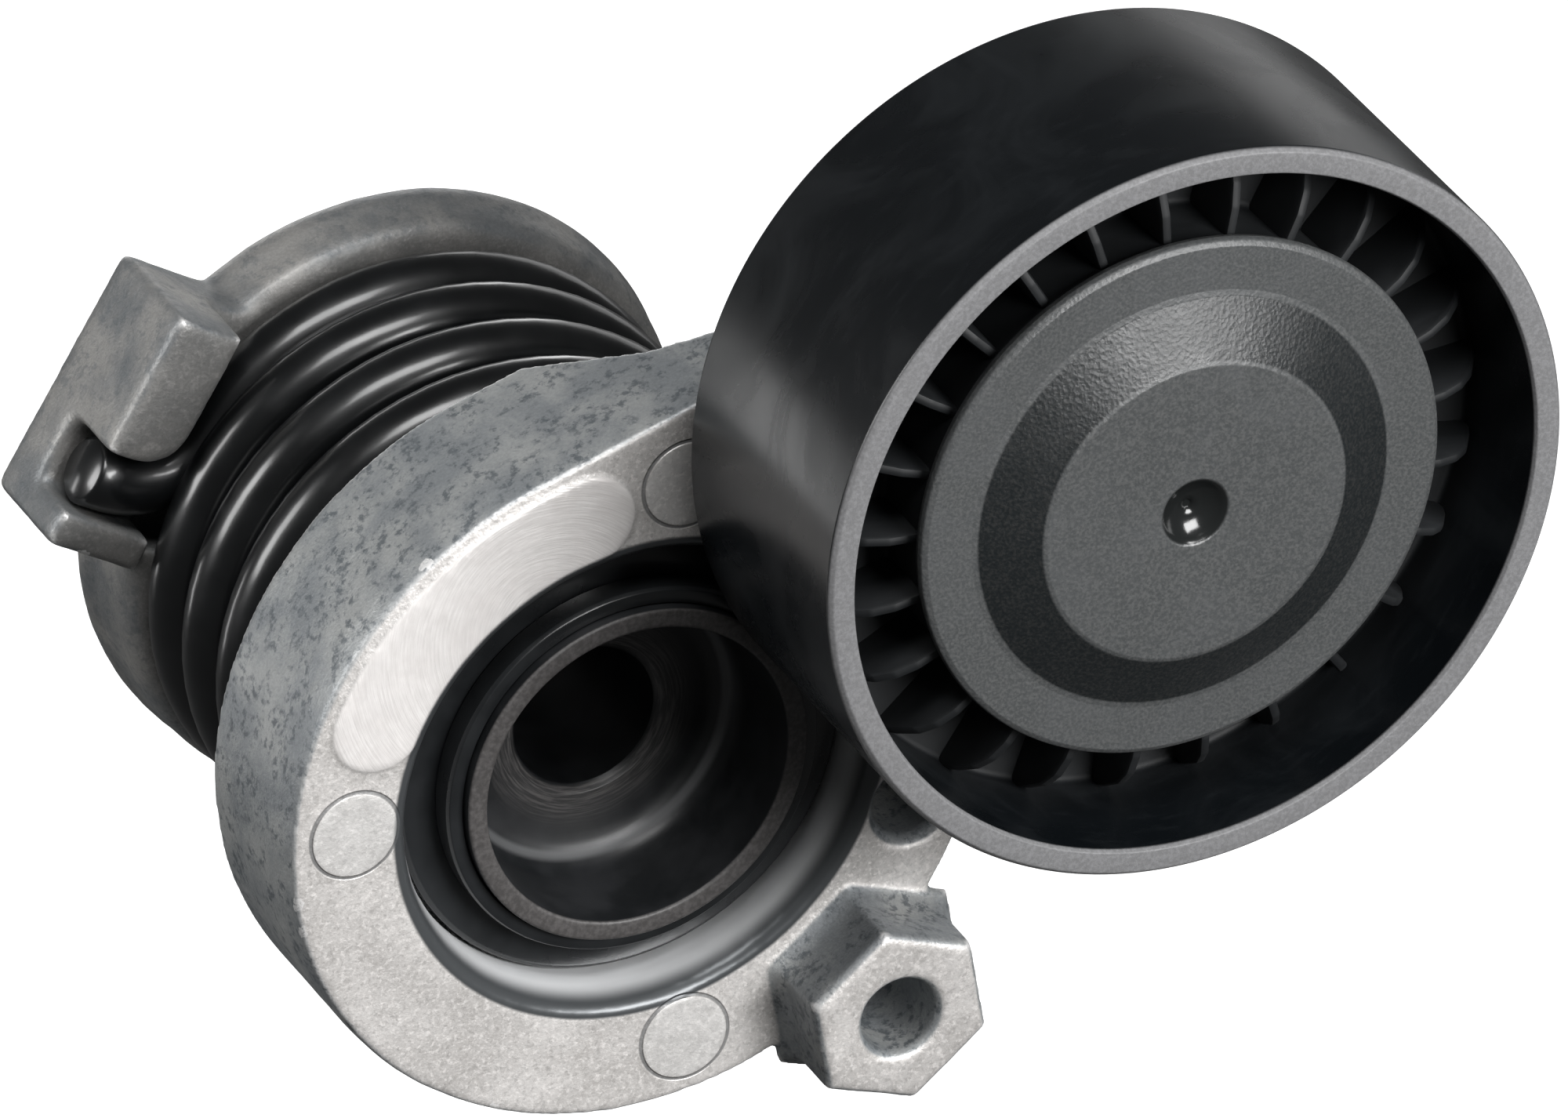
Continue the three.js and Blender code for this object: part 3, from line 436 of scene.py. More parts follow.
def arm_marks(look, x, y, z, colour, rough, height):
    """The machined pad, a painted reflection on the bore's wall and the ejector marks, seen from the arm's
    front.
    """
    on_face = look.ramp(y, (ARM_FACE + 0.3) * MM, (ARM_FACE + 0.1) * MM)
    angle = look.math("ARCTAN2", z, x)
    held = look.math("MINIMUM", look.math("MAXIMUM", angle, radians(PAD_FROM)), radians(PAD_TO))
    spine_x = look.times(look.math("COSINE", held), PAD_MIDDLE * MM)
    spine_z = look.times(look.math("SINE", held), PAD_MIDDLE * MM)

    def distance(ax, az):
        return look.length(look.math("SUBTRACT", x, ax), look.math("SUBTRACT", z, az))

    away = distance(spine_x, spine_z)
    pad = look.times(on_face, look.ramp(away, (PAD_HALF + 0.1) * MM, (PAD_HALF - 0.25) * MM))
    sweep = distance(STROKE_CENTRE[0] * MM, STROKE_CENTRE[1] * MM)
    strokes = look.noise(1.0, 3.0, 0.6, 0.0, look.join(
        look.times(sweep, 5200.0), look.times(angle, 9.0), 0.0))
    bright = look.mix(look.ramp(strokes, 0.3, 0.7), (0.84, 0.81, 0.79), (0.97, 0.94, 0.92))
    bright = look.mix(look.ramp(look.noise(420.0, 4.0), 0.35, 0.7, 0.0, 0.5), bright, (0.86, 0.82, 0.80))
    colour = look.mix(pad, colour, bright)
    rough = look.math("ADD", rough, look.times(pad, -0.08))
    height = look.mix(pad, height, look.times(strokes, 0.5))
    bore = look.ramp(distance(0.0, 0.0), (BORE_MOUTH + 0.2) * MM, (BORE_MOUTH - 0.2) * MM)
    # Painted reflection on the bore's wall: dark next to the face, bright deeper in, as the lamps would show
    # it.
    bore_depth = look.ramp(y, (ARM_FACE + 0.7) * MM, (ARM_FACE + 3.0) * MM)
    bore_painted_reflection = look.mix(bore_depth, (0.075, 0.08, 0.084), (0.80, 0.81, 0.82))
    colour = look.mix(bore, colour, bore_painted_reflection)
    rough = look.math("ADD", look.times(rough, look.math("SUBTRACT", 1.0, bore)), look.times(bore, 0.30))
    height = look.times(height, look.math("SUBTRACT", 1.0, bore))
    for ax, az in EJECTORS:
        away = distance(ax * MM, az * MM)
        ring = look.ramp(look.math("ABSOLUTE", look.math("SUBTRACT", away, EJECTOR_RADIUS * MM)),
                         0.24 * MM, 0.08 * MM)
        ring = look.times(ring, on_face)
        inside = look.times(on_face, look.ramp(away, EJECTOR_RADIUS * MM, (EJECTOR_RADIUS - 0.4) * MM))
        colour = look.mix(look.times(inside, 0.35), colour, (0.74, 0.74, 0.73))
        colour = look.mix(look.times(ring, 0.72), colour, (0.13, 0.135, 0.14))
        height = look.math("SUBTRACT", height, look.times(ring, 1.6))
    return colour, rough, height


def coated_steel(name, colour, rough, coat, grain_depth):
    look = Look(name)
    grain = look.noise(2600.0, 3.0)
    wide = look.noise(170.0, 4.0)
    shade = look.mix(look.ramp(wide, 0.35, 0.7, 0.0, 0.5), colour, tuple(c * 1.9 for c in colour))
    roughness = look.ramp(wide, 0.3, 0.7, rough, rough + 0.10)
    return look.set(Base_Color=shade, Metallic=0.0, Roughness=roughness,
                    Coat_Weight=coat, Coat_Roughness=0.16, Normal=look.bump(grain, grain_depth, 0.5))


# The worn ring on the cup's floor, and the painted highlight line along its fillet.
WEAR_EDGE = 11.0
WEAR_FULL = 7.6
FILLET_HIGHLIGHT_RADIUS = 13.15


def shaft_look():
    """Black finish, worn to grey on the front rim and round the bolt hole, with a painted highlight along
    the fillet.
    """
    look = Look("shaft_steel")
    x, y, z = look.split(look.place)
    away = look.length(x, z)
    grain = look.noise(2400.0, 4.0, 0.6)
    wide = look.noise(200.0, 4.0)
    drag = look.noise(1.0, 3.0, 0.6, 0.0, look.join(
        look.times(away, 5200.0), look.times(look.math("ARCTAN2", z, x), 2.5), 0.0))
    rim = look.ramp(y, (SHAFT_FRONT + 0.3) * MM, (SHAFT_FRONT + 0.08) * MM)
    shade = look.mix(look.ramp(wide, 0.35, 0.7), (0.008, 0.009, 0.010), (0.018, 0.019, 0.021))
    worn = look.mix(look.ramp(grain, 0.35, 0.7), (0.048, 0.045, 0.044), (0.085, 0.080, 0.079))
    shade = look.mix(rim, shade, worn)
    on_floor = look.ramp(y, (CUP_FLOOR - 0.5) * MM, (CUP_FLOOR - 0.2) * MM)
    floor_wear = look.times(look.ramp(away, WEAR_EDGE * MM, WEAR_FULL * MM), on_floor)
    floor_wear = look.times(floor_wear, look.ramp(drag, 0.40, 0.66, 0.25, 1.0))
    floor_wear = look.times(floor_wear, look.ramp(away, (BOLT_HOLE + 0.05) * MM, (BOLT_HOLE + 0.4) * MM))
    shade = look.mix(floor_wear, shade, (0.115, 0.110, 0.108))
    # Painted highlight: a thin lighter ring along the fillet between the cup's wall and floor.
    fillet = look.math("ABSOLUTE", look.math("SUBTRACT", away, FILLET_HIGHLIGHT_RADIUS * MM))
    fillet = look.ramp(fillet, 0.55 * MM, 0.10 * MM)
    fillet = look.times(fillet, look.ramp(y, (CUP_FLOOR - 2.8) * MM, (CUP_FLOOR - 2.1) * MM))
    shade = look.mix(fillet, shade, (0.10, 0.102, 0.105))
    rough = look.math("ADD", look.ramp(wide, 0.3, 0.7, 0.38, 0.46), look.times(rim, 0.1))
    height = look.math("ADD", look.times(drag, 0.6), grain)
    return look.set(Base_Color=shade, Roughness=rough, Coat_Weight=0.1, Coat_Roughness=0.25,
                    Normal=look.bump(height, 0.012, 0.6))


def moulded(name, colour, light, rough, grain_depth):
    look = Look(name)
    grain = look.noise(3400.0, 4.0, 0.6)
    wide = look.noise(75.0, 5.0, 0.6, 1.2)
    fine = look.cells(2300.0)
    shade = look.mix(look.ramp(wide, 0.42, 0.66, 0.0, 0.35), colour, light)
    shade = look.mix(look.ramp(grain, 0.42, 0.66, 0.0, 0.45), shade, light)
    roughness = look.ramp(wide, 0.35, 0.68, rough - 0.05, rough + 0.08)
    skin = look.bump(look.math("ADD", grain, look.times(fine, 0.7)), grain_depth, 0.7)
    return look.set(Base_Color=shade, Metallic=0.0, Roughness=roughness, Normal=skin,
                    Specular_IOR_Level=0.5)


def steel(name, colour, rough):
    look = Look(name)
    streaks = look.noise(1400.0, 4.0, 0.6)
    wide = look.noise(260.0, 3.0)
    shade = look.mix(look.ramp(wide, 0.35, 0.7, 0.0, 0.6), colour, tuple(c * 0.72 for c in colour))
    roughness = look.ramp(streaks, 0.3, 0.7, rough, rough + 0.15)
    return look.set(Base_Color=shade, Metallic=0.95, Roughness=roughness,
                    Normal=look.bump(streaks, 0.01, 0.4))


def pulley_look():
    """Black moulded plastic whose front edge is dressed to a matt grey."""
    look = Look("pulley_plastic")
    x, y, z = look.split(look.place)
    dx = look.math("SUBTRACT", x, PULLEY[0] * MM)
    dz = look.math("SUBTRACT", z, PULLEY[1] * MM)
    away = look.length(dx, dz)
    grain = look.noise(3000.0, 4.0, 0.65)
    wide = look.noise(60.0, 5.0, 0.6, 1.5)
    drag = look.noise(1.0, 4.0, 0.6, 0.0, look.join(
        look.times(look.math("ARCTAN2", dz, dx), 9.0), look.times(y, 900.0), 0.0))
    shade = look.mix(look.ramp(wide, 0.45, 0.72, 0.0, 0.5), (0.0032, 0.0042, 0.0052), (0.011, 0.013, 0.015))
    shade = look.mix(look.ramp(drag, 0.5, 0.75, 0.0, 0.3), shade, (0.012, 0.014, 0.016))
    edge = look.times(look.ramp(y, (PULLEY_FRONT + 0.6) * MM, (PULLEY_FRONT + 0.25) * MM),
                      look.ramp(away, (RIM_INNER - 0.25) * MM, (RIM_INNER + 0.05) * MM))
    edge_shade = look.mix(look.ramp(grain, 0.35, 0.7), (0.135, 0.135, 0.138), (0.185, 0.185, 0.19))
    shade = look.mix(edge, shade, edge_shade)
    inside = look.ramp(away, (RIM_INNER - 0.05) * MM, (RIM_INNER - 0.55) * MM)
    rough = look.math("ADD", look.ramp(wide, 0.35, 0.7, 0.25, 0.33), look.times(edge, 0.30))
    rough = look.math("ADD", rough, look.times(inside, 0.36))
    height = look.times(grain, look.math("ADD", 0.08, look.times(edge, 0.67)))
    return look.set(Base_Color=shade, Roughness=rough, Normal=look.bump(height, 0.06, 0.7))


def cap_look():
    """Grained dark plastic, smoother and darker on its cone and glossy in the middle dimple."""
    look = Look("cap_plastic")
    x, _, z = look.split(look.place)
    dx = look.math("SUBTRACT", x, PULLEY[0] * MM)
    dz = look.math("SUBTRACT", z, PULLEY[1] * MM)
    away = look.length(dx, dz)
    grain = look.noise(3400.0, 4.0, 0.6)
    wide = look.noise(75.0, 5.0, 0.6, 1.2)
    cone = look.times(look.ramp(away, (CONE_INNER - 0.15) * MM, (CONE_INNER + 0.15) * MM),
                      look.ramp(away, (CONE_OUTER + 0.15) * MM, (CONE_OUTER - 0.15) * MM))
    dimple = look.ramp(away, DIMPLE_RADIUS * MM, (DIMPLE_RADIUS - 0.3) * MM)
    shade = look.mix(look.ramp(grain, 0.38, 0.66), (0.052, 0.055, 0.056), (0.082, 0.084, 0.084))
    shade = look.mix(look.ramp(wide, 0.42, 0.66, 0.0, 0.35), shade, (0.070, 0.073, 0.076))
    dark = look.mix(look.ramp(grain, 0.40, 0.68), (0.008, 0.010, 0.011), (0.020, 0.021, 0.021))
    shade = look.mix(cone, shade, dark)
    shade = look.mix(dimple, shade, (0.010, 0.011, 0.011))
    rough = look.math("ADD", look.ramp(wide, 0.35, 0.68, 0.36, 0.44), look.times(cone, -0.03))
    rough = look.math("ADD", rough, look.times(dimple, -0.22))
    height = look.times(look.math("ADD", grain, look.times(look.cells(2300.0), 0.7)),
                        look.math("SUBTRACT", 1.0, look.times(dimple, 0.9)))
    return look.set(Base_Color=shade, Roughness=rough, Normal=look.bump(height, 0.045, 0.75))


LOOKS = {
    "cast_aluminium": cast_aluminium("cast_aluminium", False),
    "black_steel": coated_steel("black_steel", (0.010, 0.011, 0.012), 0.26, 0.35, 0.012),
    "spring_steel": coated_steel("spring_steel", (0.0035, 0.004, 0.0045), 0.28, 0.60, 0.010),
    "plated_steel": steel("plated_steel", (0.62, 0.61, 0.57), 0.30),
    "bearing_steel": steel("bearing_steel", (0.66, 0.67, 0.68), 0.16),
    "bush_plastic": moulded("bush_plastic", (0.008, 0.009, 0.009), (0.03, 0.03, 0.03), 0.45, 0.02),
    "cage_plastic": moulded("cage_plastic", (0.20, 0.11, 0.05), (0.30, 0.19, 0.10), 0.5, 0.02),
    "seal_rubber": moulded("seal_rubber", (0.010, 0.010, 0.010), (0.03, 0.03, 0.03), 0.6, 0.03),
    "cap_plastic": cap_look(),
    "pulley_plastic": pulley_look(),
}
ARM_LOOK = cast_aluminium("cast_aluminium_arm", True)
for part in frame["record"]["subparts"]:
    node = frame["nodes"][part["node"]]
    node.data.materials.clear()
    node.data.materials.append(LOOKS[part["material_slot"]])


# ------------------------------------------------------------------ torsion spring
# WIRE is the wire's radius and COIL the radius of its centre line. The coil starts flat on the base's
# seat and takes up its pitch within about CLOSING turns.
WIRE = 3.1
COIL = 23.85
PITCH = 7.2
TURNS = 4.95
CLOSING = 0.3
STEPS_PER_TURN = 64

# The leg bends out into the hook block, which lies in the direction BLOCK_ANGLE.
BLOCK_ANGLE = 148.2
BEND = 7.5
LEG_T = -4.9
LEG_Y = -11.8
LEG_END = 33.8
TIP_LENGTH = 0.4
TIP_INSET = 0.45
BEND_START = math.degrees(math.asin((BEND + LEG_T) / (COIL + BEND)))
COIL_END = BLOCK_ANGLE - BEND_START


def coil_y(turns):
    return LEG_Y - PITCH * (turns - CLOSING * (1 - math.exp(-turns / CLOSING)))


def block_point(s, t, y):
    """A point from its distance out from the pivot axis and along the hook block."""
    a, b = radians(BLOCK_ANGLE), radians(BLOCK_ANGLE - 90)
    return Vector((s * cos(a) + t * cos(b), y, s * sin(a) + t * sin(b)))


def spring():
    path = []
    count = round(TURNS * STEPS_PER_TURN)
    for step in range(count + 1):
        turns = TURNS * (1 - step / count)
        a = radians(COIL_END - 360 * turns)
        path.append(Vector((COIL * cos(a), coil_y(turns), COIL * sin(a))))
    centre_s = (COIL + BEND) * cos(radians(BEND_START))
    bends = 18
    for step in range(1, bends + 1):
        heading = radians(BEND_START + (90 - BEND_START) * step / bends)
        path.append(block_point(centre_s - BEND * cos(heading), LEG_T + BEND - BEND * sin(heading), LEG_Y))
    path.append(block_point(LEG_END - TIP_LENGTH, LEG_T, LEG_Y))
    widths = [WIRE] * len(path)
    path.append(block_point(LEG_END, LEG_T, LEG_Y))
    widths.append(WIRE - TIP_INSET)
    sides = 28
    rings = []
    for i, point in enumerate(path):
        forward = (path[min(i + 1, len(path) - 1)] - path[max(i - 1, 0)]).normalized()
        sideways = Vector((0, 1, 0)).cross(forward).normalized()
        upright = forward.cross(sideways)
        rings.append([tuple(point + sideways * widths[i] * cos(2 * pi * k / sides)
                            + upright * widths[i] * sin(2 * pi * k / sides)) for k in range(sides)])
    return loft("coil_spring", rings)


coil = spring()
smooth_shading(coil, 50)
coil.data.materials.append(LOOKS["spring_steel"])
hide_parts("torsion_spring")
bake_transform(coil)


# ------------------------------------------------------------------ base housing
BASE_RADIUS = 28.2
BASE_BORE = 14.1
SEAT_INNER = 20.6
SEAT_REAR = -3.6
WALL_OFFSET = 0.5
POCKETS = 6
PIN_PLACE = (0, -22.4)

# The hook block. INNER, OUTER and ROOT are distances out from the pivot axis and REAR is a y; the
# others lie along the block.
BLOCK_INNER = 28.0
BLOCK_OUTER = 35.0
BLOCK_ROOT = 21
BLOCK_REAR = -2.4
BLOCK_TOP = 12.4
BLOCK_BOTTOM = -11.8
NOSE_T = -1.6
NOSE_ROUND = 3.7
SLOT_BOTTOM = -8.3

# The stop collar's start, in degrees past the point opposite the pulley, and its length.
STOP_START = 21
STOP_SWEEP = 268


def block_outline(points):
    flat = [block_point(s, t, 0) for s, t in points]
    return [(p.x, p.z) for p in flat]


def seat_profile(degrees):
    y = coil_y((COIL_END - degrees) / 360) + WIRE + 0.5
    return [(SEAT_INNER, SEAT_REAR), (BASE_RADIUS, SEAT_REAR), (BASE_RADIUS - 0.1, y + 1.9),
            (BASE_RADIUS - 0.6, y + 0.7), (BASE_RADIUS - 1.9, y), (SEAT_INNER, y)]


def base_housing():
    boss = turned("base_casting", [
        (BASE_BORE, 0), (BASE_BORE, -14), (19.6, -14), (19.6, -7), (24.1, -7), (23.9, 0)])
    wall = turned("wall", [
        (BASE_BORE + 1, -8), (BASE_RADIUS - 0.6, -8), (BASE_RADIUS - 0.6, -4.9),
        (BASE_RADIUS + 0.5, -4.7), (BASE_RADIUS + 0.5, -2.9), (BASE_RADIUS - 0.2, -1.5),
        (BASE_RADIUS - 0.9, -0.8), (BASE_BORE + 1, -0.8)], (WALL_OFFSET, 0))
    seat = ring_sector("seat", seat_profile, COIL_END - 333, COIL_END - 2, 170)
    seat.data.transform(Matrix.Translation((WALL_OFFSET * MM, 0, 0)))
    rest_stop = ARM_ANGLE + 180 + STOP_START
    collar = ring_sector("collar", lambda _: [
        (16.85, -13), (19.2, -13), (19.2, -19.2), (16.85, -19.2)], rest_stop, rest_stop + STOP_SWEEP, 100)
    nose = [(BLOCK_INNER + NOSE_ROUND + NOSE_ROUND * cos(a), NOSE_T + NOSE_ROUND + NOSE_ROUND * sin(a))
            for a in (radians(270 - 90 * k / 8) for k in range(9))]
    slot_rear = LEG_Y + WIRE + 0.3
    upper = prism("upper", block_outline([
        (BLOCK_INNER, BLOCK_TOP), (BLOCK_OUTER, BLOCK_TOP), (BLOCK_OUTER, NOSE_T), *nose]), -16, BLOCK_REAR)
    whole = prism("whole", block_outline([
        (BLOCK_ROOT, BLOCK_TOP), (BLOCK_OUTER, BLOCK_TOP), (BLOCK_OUTER, BLOCK_BOTTOM),
        (BLOCK_ROOT, BLOCK_BOTTOM)]), slot_rear, BLOCK_REAR)
    lower = prism("lower", block_outline([
        (25, SLOT_BOTTOM), (BLOCK_OUTER, SLOT_BOTTOM), (BLOCK_OUTER, BLOCK_BOTTOM), (25, BLOCK_BOTTOM)]),
        -14.4, BLOCK_REAR)
    pockets = []
    for pocket in range(POCKETS):
        middle = pocket * 360 / POCKETS
        pockets.append(ring_sector("pocket", lambda _: [(16.8, 1), (20.8, 1), (20.6, -4), (17, -4)],
                                   middle - 22, middle + 22, 20))
    pin_hole = prism("pin_hole", circle(*PIN_PLACE, 2.1), -6, 1)
    way = turned("way", [(0, -30), (BASE_BORE - 0.05, -30), (BASE_BORE - 0.05, 1), (0, 1)])
    body = add(boss, wall, seat, upper, whole, lower, collar)
    return cut(body, way, *pockets, pin_hole)


place(as_cast(base_housing(), passes=64), "base", "cast_aluminium",
      LOOKS["cast_aluminium"], "base_housing")


# ------------------------------------------------------------------ tensioner arm
DRUM_RADIUS = 33.4
DRUM_REAR = -43.6
BOSS_RADIUS = 13.0
LOCK_HOLE = (26.0, -9.4)
PAD_HEIGHT = 0.28
MARK_HEIGHT = 0.12

# The wrench boss, by its size across flats and its place round the pivot axis.
HEX_FLATS = 15.6
HEX_DISTANCE = 33.6
HEX_DIRECTION = -50.5
HEX = (HEX_DISTANCE * cos(radians(HEX_DIRECTION)), HEX_DISTANCE * sin(radians(HEX_DIRECTION)))


def arm_outline(inset):
    lean = math.degrees(math.asin((DRUM_RADIUS - BOSS_RADIUS) / ARM_LENGTH))
    upper, lower = ARM_ANGLE + 90 - lean, ARM_ANGLE - 90 + lean
    points = []
    for centre, radius, start, end, count in (
            (PIVOT, DRUM_RADIUS - inset, upper, lower + 360, 130),
            (PULLEY, BOSS_RADIUS - inset, lower, upper, 60)):
        for k in range(count + 1):
            a = radians(start + (end - start) * k / count)
            points.append((centre[0] + radius * cos(a), centre[1] + radius * sin(a)))
    return points


def arm_depth():
    side = [(-45, -61), (75, -61), (75, -52.6), (33, -52), (27.6, -50), (19, DRUM_REAR), (-45, DRUM_REAR)]
    along, across = radians(ARM_ANGLE), radians(ARM_ANGLE + 90)
    rings = []
    for offset in (-50, 50):
        rings.append([(u * cos(along) + offset * cos(across), y, u * sin(along) + offset * sin(across))
                      for u, y in side])
    return loft("depth", rings)


def hexagon(flats, y):
    radius = flats / math.sqrt(3)
    corners = [Vector((HEX[0] + radius * cos(radians(HEX_DIRECTION + 30 + 60 * k)), y,
                       HEX[1] + radius * sin(radians(HEX_DIRECTION + 30 + 60 * k)))) for k in range(6)]
    return [tuple(c) for c in corners]


def tensioner_arm():
    slab = loft("arm_casting", [[(x, y, z) for x, z in arm_outline(inset)] for inset, y in (
        (0.3, ARM_FACE), (0.15, ARM_FACE + 0.6), (0.0, ARM_FACE + 2.6), (0.0, DRUM_REAR + 3))])
    body = combine(slab, "INTERSECT", arm_depth())
    boss = loft("boss", [hexagon(HEX_FLATS - 1, -67.5), hexagon(HEX_FLATS, -67.0),
                         hexagon(HEX_FLATS, ARM_FACE - 1.8), hexagon(HEX_FLATS + 0.9, ARM_FACE - 0.7),
                         hexagon(HEX_FLATS + 3, ARM_FACE + 0.3), hexagon(HEX_FLATS + 1, ARM_FACE + 1.5),
                         hexagon(HEX_FLATS - 1.5, -50.5)])
    body = add(body, boss)
    body = cut(body, turned("cavity", [(19.9, -48.8), (27.7, -48.8), (28.5, -38.6), (19.9, -38.6)]))
    tube = turned("tube", [(17.65, -19.5), (17.65, -51.7), (20.9, -51.7), (20.9, -48.7),
                           (19.9, -48.2), (19.9, -19.5)])
    middle = ARM_ANGLE + 180
    lug = ring_sector("lug", lambda _: [(17.75, -20.5), (19, -20.5), (19, -14.3), (17.75, -14.3)],
                      middle - 20, middle + 20, 20)
    start = COIL_END - 360 * TURNS
    stop = ring_sector("stop", lambda _: [(19.4, -49.3), (28.7, -49.3), (28.7, -44.2), (19.4, -44.2)],
                       start - 16, start - 2.2, 10)
    spigot = turned("spigot", [(0, -57), (11.5, -57), (11.2, -68.6), (10.8, -69), (8.4, -69),
                               (8.4, -81.4), (7.9, -81.9), (0, -81.9)], PULLEY)
    body = add(body, tube, lug, stop, spigot)
    bore = turned("bore", [(0, -62), (BORE_MOUTH, -62), (23.3, -60.05), (22.5, -59.4), (21.8, -57.6),
                           (21.5, -55.8), (21.5, -52.2), (17.65, -52.2), (17.65, -40), (0, -40)])
    bolt = turned("bolt", [(0, -90), (4.2, -90), (4.2, -59), (0, -57)], PULLEY, 64)
    wrench = turned("wrench", [(0, -68.5), (4.25, -68.5), (4.15, -67.5), (3.65, -66.9), (3.15, -54),
                               (0, -53)], HEX, 64)
    lock = turned("lock", [(0, -61), (4.3, -61), (4.3, -60), (3.4, -59.1), (3.2, -40), (0, -40)],
                  LOCK_HOLE, 64)
    return cut(body, bore, bolt, wrench, lock)


def face_relief(points, normals):
    """How far each vertex stands out of the arm's face, on the machined pad and the ejector marks."""
    x, y, z = points.T
    held = np.radians(np.clip(np.degrees(np.arctan2(z, x)), PAD_FROM, PAD_TO))
    away = np.hypot(x - PAD_MIDDLE * np.cos(held), z - PAD_MIDDLE * np.sin(held))
    rise = PAD_HEIGHT * np.clip((PAD_HALF + 0.25 - away) / 0.5, 0, 1)
    for mark_x, mark_z in EJECTORS:
        away = np.hypot(x - mark_x, z - mark_z)
        rise = np.maximum(rise, MARK_HEIGHT * np.clip((EJECTOR_RADIUS + 0.1 - away) / 0.4, 0, 1))
    return np.where((normals[:, 1] < -0.9) & (np.abs(y - ARM_FACE) < 0.4), rise, 0.0)


place(as_cast(tensioner_arm(), passes=6, reshape=face_relief), "arm", "cast_aluminium",
      ARM_LOOK, "tensioner_arm")


# ------------------------------------------------------------------ pivot shaft and front rings
def turned_piece(name, node, body, slot, profile, centre=PIVOT, facets=192, radius=0.3):
    piece = turned(name, profile, centre, facets, radius)
    smooth_shading(piece, 45)
    return place(piece, body, slot, LOOKS[slot], node)


CUP_RADIUS = 14.3
CUP_ROUND = 3.0
CUP_FILLET = [(CUP_RADIUS - CUP_ROUND * (1 - cos(a)), CUP_FLOOR - CUP_ROUND * (1 - sin(a)), 0)
              for a in (radians(9 * k) for k in range(11))]
shaft = turned_piece("shaft_cup", "pivot_shaft", "base", "black_steel", [
    (14, -0.3), (14, -14.3), (16.25, -14.3), (16.25, SHAFT_FRONT), (14.4, SHAFT_FRONT, 0.4), *CUP_FILLET,
    (7.4, CUP_FLOOR, 0.2), (BOLT_HOLE, -48.0, 0.2), (BOLT_HOLE, -0.8), (7.2, -0.3)])
shaft.data.materials[0] = shaft_look()
turned_piece("shaft_ring", "retaining_ring", "base", "black_steel", [
    (16.35, -55.7), (16.35, -58.3), (17.6, -58.3), (17.8, -57.9), (17.8, -55.7)], radius=0.15)
turned_piece("bore_disc", "front_thrust_disc", "base", "black_steel", [
    (16.35, -54.2), (16.35, -55.6), (20.8, -55.6, 0.5), (21.15, -55.2, 0.3), (21.15, -54.2)], radius=0.15)

# ------------------------------------------------------------------ pulley and dust cap
RIBS = 25
RIB_WIDTH = 1.0
RIB_FIRST = 4.7
# A rib's section: places across it as shares of its width, and how far its outline sits back there.
RIB_SECTION = ((-0.5, 0.35), (-0.36, 0.08), (-0.15, 0), (0.15, 0), (0.36, 0.08), (0.5, 0.35))


def pulley():
    wheel = turned("pulley_wheel", [
        (35, -63.0, 0.4), (35, -89.7, 0.5), (34.6, PULLEY_FRONT, 0.3), (32.65, PULLEY_FRONT, 0.2),
        (RIM_INNER, -89.8, 0.3),
        (32.05, -78.0, 0.6), (23.8, -77.9, 0.6), (24, -84.8, 0.2), (23.5, -85.3, 0.3), (20.1, -85.3, 0.1),
        (20.1, -83.1, 0), (18.9, -83.1, 0), (18.9, -82.5, 0), (20.1, -82.5, 0), (20.1, -70.2, 0),
        (19.1, -70.2, 0), (19.1, -69.2, 0.1), (21.1, -67.5, 0.2), (23.5, -67.5, 0.3), (24, -68, 0.3),
        (24, -75.8, 0.6), (32.1, -75.8, 0.6), (RIM_INNER, -62.9, 0.2), (32.65, -62.5, 0.1),
        (34.6, -62.5, 0.2)],
        PULLEY, 225, 0.3)
    side = rounded([(22.5, -84.9), (26.6, -84.6), (28.6, -83.9), (30.2, -82.6), (31.6, -80.4),
                    (33.2, -77), (33.2, -71), (30.4, -69.6), (22.5, -68.6)], 1.5, 4)
    for rib in range(RIBS):
        a = radians(RIB_FIRST + rib * 360 / RIBS)
        rings = []
        for share, inset in RIB_SECTION:
            w = share * RIB_WIDTH
            rings.append([(PULLEY[0] + r * cos(a) - w * sin(a), y + inset,
                           PULLEY[1] + r * sin(a) + w * cos(a)) for r, y in side])
        wheel = add(wheel, loft("rib", rings))
    smooth_shading(wheel, 35)
    return wheel


place(pulley(), "pulley", "pulley_plastic", LOOKS["pulley_plastic"], "pulley")

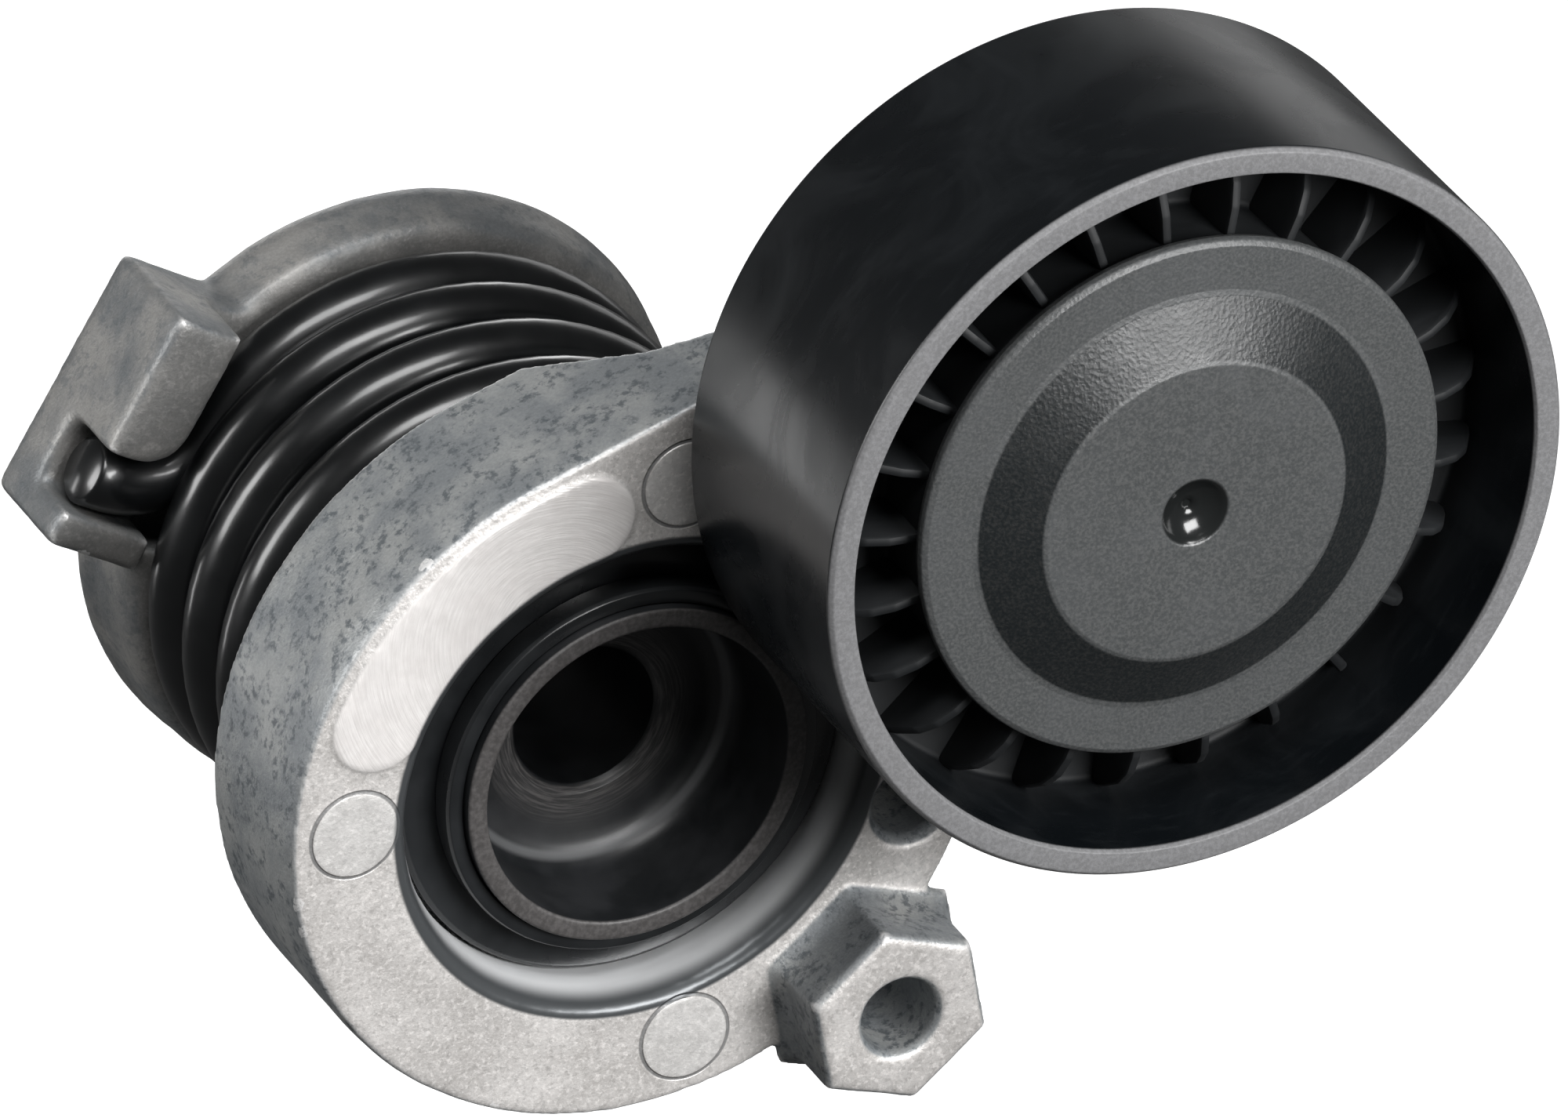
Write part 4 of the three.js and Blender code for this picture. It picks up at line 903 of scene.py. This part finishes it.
DIMPLE_ROUND = 3.9
DIMPLE_CENTRE = -91.95
DIMPLE = [(DIMPLE_ROUND * sin(a), DIMPLE_CENTRE + DIMPLE_ROUND * cos(a), 0)
          for a in (radians(9 + 7 * k) for k in range(7))]
turned_piece("cap_front", "dust_cap", "pulley", "cap_plastic", [
    (0, -87.75), (0.35, -87.8, 0.1), *DIMPLE,
    (DIMPLE_RADIUS, -89.6, 0.3), (14.1, -89.6, 0.5), (14.7, -89.35, 0.5), (19.5, -87.25, 0.3),
    (20.1, -87.1, 0.3),
    (24.2, -87.1, 0.3), (24.7, -86.8, 0.4), (24.8, -86.3, 0.3), (24.6, -85.6, 0.1), (19.9, -85.6, 0.1),
    (19.8, -83.7, 0.1), (18.6, -83.7, 0.1), (18.4, -85.5, 0.1), (13.4, -88.0, 0.3),
    (4.6, -88.0, 0.3), (3.9, -87.2, 0.3), (0, -87.2)],
    PULLEY)


# ------------------------------------------------------------------ floor, light
FLOOR_Z = -0.32
FLOOR_HALF = 6
floor_mesh = bpy.data.meshes.new("floor")
floor_mesh.from_pydata([(x * FLOOR_HALF, y * FLOOR_HALF, FLOOR_Z)
                        for x, y in ((-1, -1), (1, -1), (1, 1), (-1, 1))], [], [(0, 1, 2, 3)])
floor = bpy.data.objects.new("floor", floor_mesh)
bpy.context.scene.collection.objects.link(floor)
floor_look = Look("floor")
floor.data.materials.append(floor_look.set(
    Base_Color=floor_look.mix(floor_look.noise(30.0), (0.86, 0.86, 0.86), (0.88, 0.88, 0.88)), Roughness=0.9,
    Emission_Color=(1.0, 1.0, 1.0), Emission_Strength=0.55))
floor.visible_glossy = False
floor.visible_diffuse = False

MIDDLE = Vector((0.02, -0.045, 0.015))
LIGHTS = (  # name, place, size, power
    ("key", (0.42, -1.05, 0.46), (0.7, 0.45), 20.0),
    ("top", (-0.15, -0.55, 1.10), (0.7, 0.4), 9.0),
    ("left", (-1.10, 0.30, 0.42), (0.40, 0.60), 7.0),
    ("right_back", (0.95, 0.95, 0.16), (0.9, 0.5), 1.1),
    ("left_low", (-0.60, 0.72, -0.20), (0.10, 0.30), 0.40),
    ("back_fill", (0.30, 1.30, 0.05), (0.9, 0.5), 3.0),
)
for name, spot, size, power in LIGHTS:
    light = bpy.data.lights.new(name, "AREA")
    light.shape = "RECTANGLE"
    light.size, light.size_y = size
    light.energy = power
    lamp = bpy.data.objects.new(name, light)
    lamp.location = spot
    lamp.rotation_euler = (MIDDLE - Vector(spot)).to_track_quat("-Z", "Y").to_euler()
    bpy.context.scene.collection.objects.link(lamp)

world = bpy.data.worlds.new("studio")
world.use_nodes = True
background = world.node_tree.nodes["Background"]
background.inputs["Color"].default_value = (1, 1, 1, 1)
background.inputs["Strength"].default_value = 0.07
bpy.context.scene.world = world
bpy.context.scene.view_settings.view_transform = "Standard"
